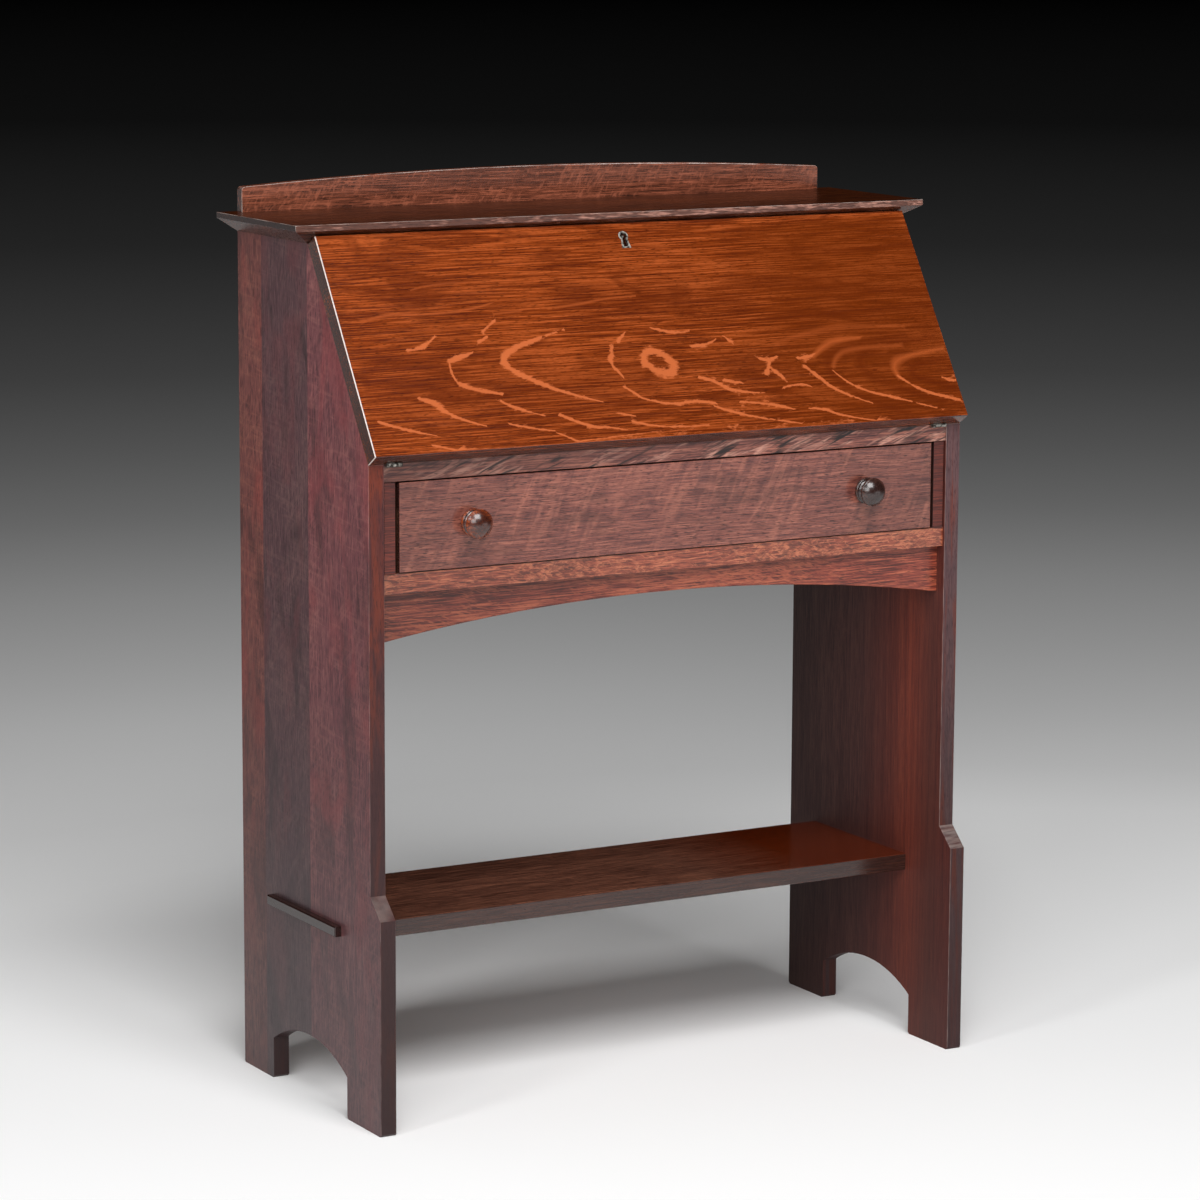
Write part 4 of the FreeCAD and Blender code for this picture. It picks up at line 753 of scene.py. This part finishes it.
class DESK_OT_front(bpy.types.Operator):
    """Polishes the writing bed, the drawer front, the rails, the apron and the pull-out supports"""
    bl_idname = "desk.front"
    bl_label = "Front boards"

    def execute(self, context):
        woods = context.scene.desk_woods
        # Sawn through the heart: dark smudged swirls on the bed's edge.
        # Its edge also grows darker from a little right of the middle towards its left end.
        # The narrow dark lines at both ends of its edge are painted shadow of the gap where it meets the
        # sides.
        finish(oak("Plain-sawn oak, bed", "front", seed=7, coat=0.0,
                   dark_ends_and_shade=[(100, -340, 0.6), (-366, -367, 0.9), (366, 367, 0.9)],
                   flakes=[(woods.bed_pale, 50.0, 6.0, -18.0, 0.9, "Y"),
                           (woods.bed_smudge, 50.0, 5.5, -20.0, 1.0, "Y")]), "writing_bed")
        # Quarter-sawn: wide soft curls across the drawer, short bright flakes on the narrow boards.
        # Its end faces take the dark end-grain colour of true end grain, with painted shade of the recesses
        # by the sides.
        # Its top edge, in the gap under the bed, takes it too as painted shade of the gap. It grows darker
        # towards both ends.
        finish(oak("Quarter-sawn oak, drawer", "front", spread=0.2, pored=0.9, seed=8, roughness=0.25,
                   coat=0.0, edges={"X": woods.end_grain_and_shade, "Z": woods.end_grain_and_shade},
                   dark_ends_and_shade=[(-180, -343, 0.25), (200, 343, 0.2)],
                   flakes=[(woods.front_pale, 75.0, 15.0, -62.0, 0.5, "Y"),
                           (woods.front_deep, 55.0, 12.0, -66.0, 0.4, "Y"),
                           (woods.bed_smudge, 70.0, 14.0, 4.0, 0.3, "Y")]), "drawer_front")
        finish(oak("Quarter-sawn oak, rail", "band", streak=25.0, seed=9, worn=0.3,
                   dark_ends_and_shade=[(0, -380, 0.3)],
                   flakes=[(woods.band_pale, 12.0, 4.0, 25.0, 0.8, "XYZ"),
                           (woods.band_deep, 9.0, 3.0, -30.0, 0.6, "XYZ")]), "drawer_rail")
        finish(oak("Quarter-sawn oak, apron", "apron", seed=10, coat=0.0, dark_ends_and_shade=[(360, -360, 0.5)],
                   flakes=[(woods.apron_pale, 18.0, 3.0, 18.0, 0.7, "XYZ")]), "apron")
        finish(oak("Quarter-sawn oak, supports", "loper", roughness=0.5, coat=0.0, seed=11),
               *both("loper", "loper_peg"))
        return {"FINISHED"}


class DESK_OT_inner(bpy.types.Operator):
    """Finishes the plain boards inside, behind and under the case"""
    bl_idname = "desk.inner"
    bl_label = "Inner boards"

    def execute(self, context):
        # Planed and left bare: pale brown, dull, with hardly a pore.
        bare = {"spread": 0.16, "pored": 0.2, "roughness": 0.6, "coat": 0.0}
        for seed, board in enumerate(("back_board_left", "back_board_middle", "back_board_right"), 15):
            finish(oak("Planed poplar, " + board.replace("_", " "), "inner", along="Z", seed=seed, **bare),
                   board)
        finish(oak("Planed poplar, lying", "inner", seed=13, **bare),
               "rear_rail", "drawer_back", "drawer_bottom", "pigeonhole_shelf",
               *["pigeonhole_divider_%d" % number for number in range(1, 5)],
               *both("drawer_runner", "guide_strip", "loper_stop", "drawer_stop", "apron_block", "top_cleat",
                     "drawer_side"))
        return {"FINISHED"}


class DESK_OT_knobs(bpy.types.Operator):
    """Polishes the two turned knobs"""
    bl_idname = "desk.knobs"
    bl_label = "Knobs"

    def execute(self, context):
        # Turned on a lathe and rubbed by hands: close brown lines and a small sharp shine.
        for wood, seed, knob in (("knob", 14, "drawer_knob_left"), ("dark_knob", 12, "drawer_knob_right")):
            finish(oak("Turned walnut, " + knob.replace("_", " "), wood, along="Y", streak=20.0,
                       roughness=0.26, coat=0.5, seed=seed), knob)
        return {"FINISHED"}


class DESK_OT_metal(bpy.types.Operator):
    """Ages the hinges, the lock, its keeper and the keyhole's rim"""
    bl_idname = "desk.metal"
    bl_label = "Metal pieces"

    def execute(self, context):
        metals = context.scene.desk_metals
        # Rolled and gone dull: grey with dark blotches. The thin plate on the rim is a little whiter.
        finish(aged_metal("Rolled steel, aged", metals.steel, metals.tarnish, 0.5),
               "lock_case", "lock_bolt", "lock_keeper",
               *both("hinge_bed_leaf", "hinge_fall_leaf", "hinge_pin"))
        finish(aged_metal("Nickel plate, worn", metals.plate, metals.tarnish, 0.5), "escutcheon")
        return {"FINISHED"}


# Each group of screws and the way its heads face.
SCREWS = {
    "back_screws": Vector((0.0, 1.0, 0.0)),
    "top_cleat_screws": Vector((0.0, 0.0, -1.0)),
    "hinge_bed_screws": Vector((0.0, 0.0, 1.0)),
    "keeper_screws": -UP_SLOPE,
    "hinge_fall_screws": -OUT_OF_FALL,
    "lock_screws": -OUT_OF_FALL,
}
SCREW_SIZES = ("Head radius", "Head depth", "Shank radius", "Length", "Slot width", "Slot depth")
SCREW_SEED = 5
HEAD_SIDES = 24
# The depth of a screw's head and the radius of its shank, as shares of the head's radius.
HEAD_DEPTH = 0.6
SHANK_RADIUS = 0.5


def screw_places(node, facing):
    """The middle of each screw's head, with the head's radius and the screw's length, from its CAD solids."""
    solids = bmesh.new()
    solids.from_mesh(nodes[node].data)
    bmesh.ops.remove_doubles(solids, verts=solids.verts, dist=0.001 * MM)
    found = set()
    heads = []
    for start in solids.verts:
        if start in found:
            continue
        solid = {start}
        edge = {start}
        while edge:
            edge = {link.other_vert(vertex) for vertex in edge for link in vertex.link_edges} - solid
            solid |= edge
        found |= solid
        heights = [vertex.co.dot(facing) for vertex in solid]
        rim = [vertex.co for vertex in solid if vertex.co.dot(facing) > max(heights) - 0.01 * MM]
        middle = Vector((min(side) + max(side)) / 2 for side in zip(*rim))
        heads.append((middle, max((spot - middle).length for spot in rim), max(heights) - min(heights)))
    solids.free()
    return heads


def screw_tree(material):
    """Slotted countersunk screws on points, each head facing the way the point's attribute says."""
    tree = bpy.data.node_groups.new("Slotted screws", "GeometryNodeTree")
    tree.interface.new_socket(name="Geometry", in_out="INPUT", socket_type="NodeSocketGeometry")
    for name in SCREW_SIZES:
        tree.interface.new_socket(name=name, in_out="INPUT", socket_type="NodeSocketFloat")
    tree.interface.new_socket(name="Seed", in_out="INPUT", socket_type="NodeSocketInt")
    tree.interface.new_socket(name="Geometry", in_out="OUTPUT", socket_type="NodeSocketGeometry")
    given = add_node(tree, "NodeGroupInput").outputs
    head = add_node(tree, "GeometryNodeMeshCone", {
        "Vertices": HEAD_SIDES, "Radius Top": given["Head radius"], "Radius Bottom": given["Shank radius"],
        "Depth": given["Head depth"]})
    sink = add_node(tree, "ShaderNodeMath", {0: given["Head depth"], 1: -1.0}, operation="MULTIPLY")
    down = add_node(tree, "ShaderNodeCombineXYZ", {"Z": sink})
    head = add_node(tree, "GeometryNodeTransform", {"Geometry": head, "Translation": down})
    across = add_node(tree, "ShaderNodeMath", {0: given["Head radius"], 1: 3.0}, operation="MULTIPLY")
    deep = add_node(tree, "ShaderNodeMath", {0: given["Slot depth"], 1: 2.0}, operation="MULTIPLY")
    size = add_node(tree, "ShaderNodeCombineXYZ", {"X": across, "Y": given["Slot width"], "Z": deep})
    slot = add_node(tree, "GeometryNodeMeshCube", {"Size": size})
    slotted = add_node(tree, "GeometryNodeMeshBoolean", {
        "Mesh 1": head, "Mesh 2": slot}, operation="DIFFERENCE", solver="EXACT")
    tip = add_node(tree, "ShaderNodeMath", {0: given["Length"], 1: -1.0}, operation="MULTIPLY")
    low = add_node(tree, "ShaderNodeCombineXYZ", {"Z": tip})
    reach = add_node(tree, "ShaderNodeMath", {
        0: given["Length"], 1: given["Head depth"]}, operation="SUBTRACT")
    shank = add_node(tree, "GeometryNodeMeshCone", {
        "Vertices": HEAD_SIDES, "Radius Top": given["Shank radius"], "Radius Bottom": 0.0, "Depth": reach})
    shank = add_node(tree, "GeometryNodeTransform", {"Geometry": shank, "Translation": low})
    whole = add_node(tree, "GeometryNodeJoinGeometry", {"Geometry": slotted})
    tree.links.new(shank.outputs["Geometry"], whole.inputs["Geometry"])
    facing = add_node(tree, "GeometryNodeInputNamedAttribute", {"Name": "facing"}, data_type="FLOAT_VECTOR")
    aligned = add_node(tree, "FunctionNodeAlignRotationToVector", {"Vector": facing}, axis="Z")
    chance = add_node(tree, "FunctionNodeRandomValue", {
        "Max": math.pi, "Seed": given["Seed"]}, data_type="FLOAT")
    spin = add_node(tree, "FunctionNodeAxisAngleToRotation", {"Axis": (0.0, 0.0, 1.0), "Angle": chance})
    turned = add_node(tree, "FunctionNodeRotateRotation", {
        "Rotation": aligned, "Rotate By": spin}, rotation_space="LOCAL")
    points = add_node(tree, "GeometryNodeMeshToPoints", {"Mesh": given["Geometry"]})
    screws = add_node(tree, "GeometryNodeInstanceOnPoints", {
        "Points": points, "Instance": whole, "Rotation": turned})
    real = add_node(tree, "GeometryNodeRealizeInstances", {"Geometry": screws})
    dressed = add_node(tree, "GeometryNodeSetMaterial", {"Geometry": real, "Material": material})
    add_node(tree, "NodeGroupOutput", {"Geometry": dressed})
    return tree


class DESK_OT_screws(bpy.types.Operator):
    """Makes the slotted screws, one mesh for each body that holds them"""
    bl_idname = "desk.screws"
    bl_label = "Screws"

    def execute(self, context):
        metals = context.scene.desk_metals
        # Turned on a lathe and gone dull: grey with dark blotches, a little brighter than the hinges.
        steel = aged_metal("Turned steel, aged", metals.steel, metals.tarnish, 0.45)
        tree = screw_tree(steel)
        sockets = {item.name: item.identifier for item in tree.interface.items_tree if item.in_out == "INPUT"}
        held = {}
        for node, facing in SCREWS.items():
            heads = screw_places(node, facing)
            _, radius, long = heads[0]
            mesh = bpy.data.meshes.new(node)
            mesh.from_pydata([middle for middle, _, _ in heads], [], [])
            mesh.attributes.new("facing", "FLOAT_VECTOR", "POINT").data.foreach_set(
                "vector", [part for _ in heads for part in facing])
            points = bpy.data.objects.new(node, mesh)
            context.scene.collection.objects.link(points)
            modifier = points.modifiers.new("screws", "NODES")
            modifier.node_group = tree
            sizes = (radius, HEAD_DEPTH * radius, SHANK_RADIUS * radius, long, metals.slot_width,
                     metals.slot_depth)
            for name, size in zip(SCREW_SIZES, sizes):
                modifier[sockets[name]] = size
            modifier[sockets["Seed"]] = SCREW_SEED
            made = bpy.data.meshes.new_from_object(points.evaluated_get(context.evaluated_depsgraph_get()))
            points.modifiers.clear()
            bpy.data.objects.remove(points)
            body = nodes[node].parent.name.split(":")[1]
            held.setdefault(body, []).append((node, made))
        for body, groups in held.items():
            joined = bmesh.new()
            for _, made in groups:
                joined.from_mesh(made)
            mesh = bpy.data.meshes.new(body + "_screws")
            joined.to_mesh(mesh)
            joined.free()
            mesh.materials.append(steel)
            new_piece(body + "_screws", mesh, body, "aged_steel", *[node for node, _ in groups])
        return {"FINISHED"}


# The photograph's camera, in the desk's frame.
CAMERA_PLACE = (-2.46687, -4.31796, 1.39444)
CAMERA_AZIMUTH = -29.641
CAMERA_ELEVATION = 9.766
CAMERA_ROLL = 0.273
CAMERA_LENS = 131.97
CAMERA_SENSOR = 36.0
# Each lamp's place and size in metres.
LAMPS = {
    "key": ((-0.7, -3.3, 4.3), (3.0, 2.6)),
    "fill": ((-3.6, -4.2, 2.6), (3.0, 2.4)),
    "strip": ((-3.2, -1.2, 3.0), (0.5, 1.6)),
    "rim": ((-2.4, 4.2, 0.9), (3.0, 1.7)),
    "panel": ((2.1, -3.0, 0.4), (2.6, 0.8)),
}
FLOOR_RADIUS = 60.0
FLOOR_SIDES = 96
# Middle of the painted pool of light on the floor, and how much of its brightness is left at each distance in
# metres.
FLOOR_LIGHT_MIDDLE = (0.3, -0.6, 0.0)
FLOOR_LIGHT_FADE = [(0.0, 1.0), (1.5, 1.0), (1.75, 0.97), (2.0, 0.86), (2.5, 0.77), (3.05, 0.69), (3.8, 0.6),
              (4.75, 0.44), (5.7, 0.35), (7.2, 0.24), (11.0, 0.122), (18.0, 0.042), (40.0, 0.0)]


def lamp(name, place, size, watts):
    """A rectangular soft lamp aimed at the middle of the desk."""
    light = bpy.data.lights.new(name, "AREA")
    light.shape = "RECTANGLE"
    light.size, light.size_y = size
    light.energy = watts
    made = bpy.data.objects.new(name, light)
    middle = (Vector(cad_bounds[0]) + Vector(cad_bounds[1])) / 2
    made.location = place
    made.rotation_euler = (middle - Vector(place)).to_track_quat("-Z", "Y").to_euler()
    made.visible_camera = False
    bpy.context.scene.collection.objects.link(made)


def floor_material(near):
    """Painted paper: matt, pale by the desk and darker far from it, all round: a painted fall-off of the
    light.
    """
    made, tree = new_material("Painted paper, matt")
    place = add_node(tree, "ShaderNodeTexCoord").outputs["Object"]
    reach = add_node(tree, "ShaderNodeVectorMath", {0: place, 1: FLOOR_LIGHT_MIDDLE}, operation="DISTANCE")
    share = add_node(tree, "ShaderNodeMath", {0: reach, 1: FLOOR_LIGHT_FADE[-1][0]}, operation="DIVIDE")
    ramp = add_node(tree, "ShaderNodeValToRGB", {"Fac": share}, stops=[
        (distance / FLOOR_LIGHT_FADE[-1][0], [left * c for c in near]) for distance, left in FLOOR_LIGHT_FADE])
    shader = add_node(tree, "ShaderNodeBsdfPrincipled", {
        "Base Color": ramp, "Roughness": 0.9, "Specular IOR Level": 0.0})
    add_node(tree, "ShaderNodeOutputMaterial", {"Surface": shader})
    return made


def studio_world(ambient):
    """A dim room: its scattered light falls on everything, and polish mirrors a dark ceiling."""
    world = bpy.data.worlds.new("Studio")
    world.use_nodes = True
    tree = world.node_tree
    tree.nodes.clear()
    rays = add_node(tree, "ShaderNodeLightPath").outputs
    seen = add_node(tree, "ShaderNodeMath", {
        0: rays["Is Camera Ray"], 1: rays["Is Glossy Ray"]}, operation="MAXIMUM")
    seen = add_node(tree, "ShaderNodeMath", {0: seen, 1: rays["Is Transmission Ray"]}, operation="MAXIMUM")
    scattered = add_node(tree, "ShaderNodeBackground", {"Color": (ambient, ambient, ambient)})
    dark = add_node(tree, "ShaderNodeBackground", {"Color": (0.0, 0.0, 0.0)})
    mixed = add_node(tree, "ShaderNodeMixShader", {0: seen, 1: scattered, 2: dark})
    add_node(tree, "ShaderNodeOutputWorld", {"Surface": mixed})
    return world


class DESK_OT_stage(bpy.types.Operator):
    """Lays the floor, sets the lamps and the photograph's camera"""
    bl_idname = "desk.stage"
    bl_label = "Stage"

    def execute(self, context):
        scene = context.scene
        stage = scene.desk_stage
        disc = bmesh.new()
        bmesh.ops.create_circle(disc, cap_ends=True, segments=FLOOR_SIDES, radius=FLOOR_RADIUS)
        mesh = bpy.data.meshes.new("floor")
        disc.to_mesh(mesh)
        disc.free()
        mesh.materials.append(floor_material(stage.floor))
        floor = bpy.data.objects.new("floor", mesh)
        scene.collection.objects.link(floor)
        for name, (place, size) in LAMPS.items():
            lamp(name, place, size, getattr(stage, name + "_power"))
        scene.world = studio_world(stage.ambient)
        view = bpy.data.cameras.new("photo_camera")
        view.lens = CAMERA_LENS
        view.sensor_width = CAMERA_SENSOR
        camera = bpy.data.objects.new("photo_camera", view)
        camera.matrix_world = (
            Matrix.Translation(CAMERA_PLACE) @ Matrix.Rotation(math.radians(CAMERA_AZIMUTH), 4, "Z")
            @ Matrix.Rotation(math.radians(90 - CAMERA_ELEVATION), 4, "X")
            @ Matrix.Rotation(math.radians(CAMERA_ROLL), 4, "Z"))
        scene.collection.objects.link(camera)
        scene.camera = camera
        scene.view_settings.view_transform = "Standard"
        return {"FINISHED"}


OPERATORS = (DESK_OT_fall, DESK_OT_case, DESK_OT_front, DESK_OT_inner, DESK_OT_knobs, DESK_OT_metal,
             DESK_OT_screws, DESK_OT_stage)


class DESK_PT_panel(bpy.types.Panel):
    """Lists the desk's pieces and settings"""
    bl_idname = "DESK_PT_panel"
    bl_label = "Drop-front desk"
    bl_space_type = "VIEW_3D"
    bl_region_type = "UI"
    bl_category = "Desk"

    def draw(self, context):
        for operator in OPERATORS:
            self.layout.operator(operator.bl_idname)
        for group in (context.scene.desk_woods, context.scene.desk_metals, context.scene.desk_stage):
            for name in group.__annotations__:
                self.layout.prop(group, name)


CLASSES = (DeskWoods, DeskMetals, DeskStage) + OPERATORS + (DESK_PT_panel,)


def register():
    for each in CLASSES:
        bpy.utils.register_class(each)
    bpy.types.Scene.desk_woods = bpy.props.PointerProperty(type=DeskWoods)
    bpy.types.Scene.desk_metals = bpy.props.PointerProperty(type=DeskMetals)
    bpy.types.Scene.desk_stage = bpy.props.PointerProperty(type=DeskStage)


def unregister():
    del bpy.types.Scene.desk_stage
    del bpy.types.Scene.desk_metals
    del bpy.types.Scene.desk_woods
    for each in reversed(CLASSES):
        bpy.utils.unregister_class(each)


def main():
    register()
    bpy.ops.desk.fall()
    bpy.ops.desk.case()
    bpy.ops.desk.front()
    bpy.ops.desk.inner()
    bpy.ops.desk.knobs()
    bpy.ops.desk.metal()
    bpy.ops.desk.screws()
    bpy.ops.desk.stage()
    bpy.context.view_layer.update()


if __name__ == "__main__":
    main()
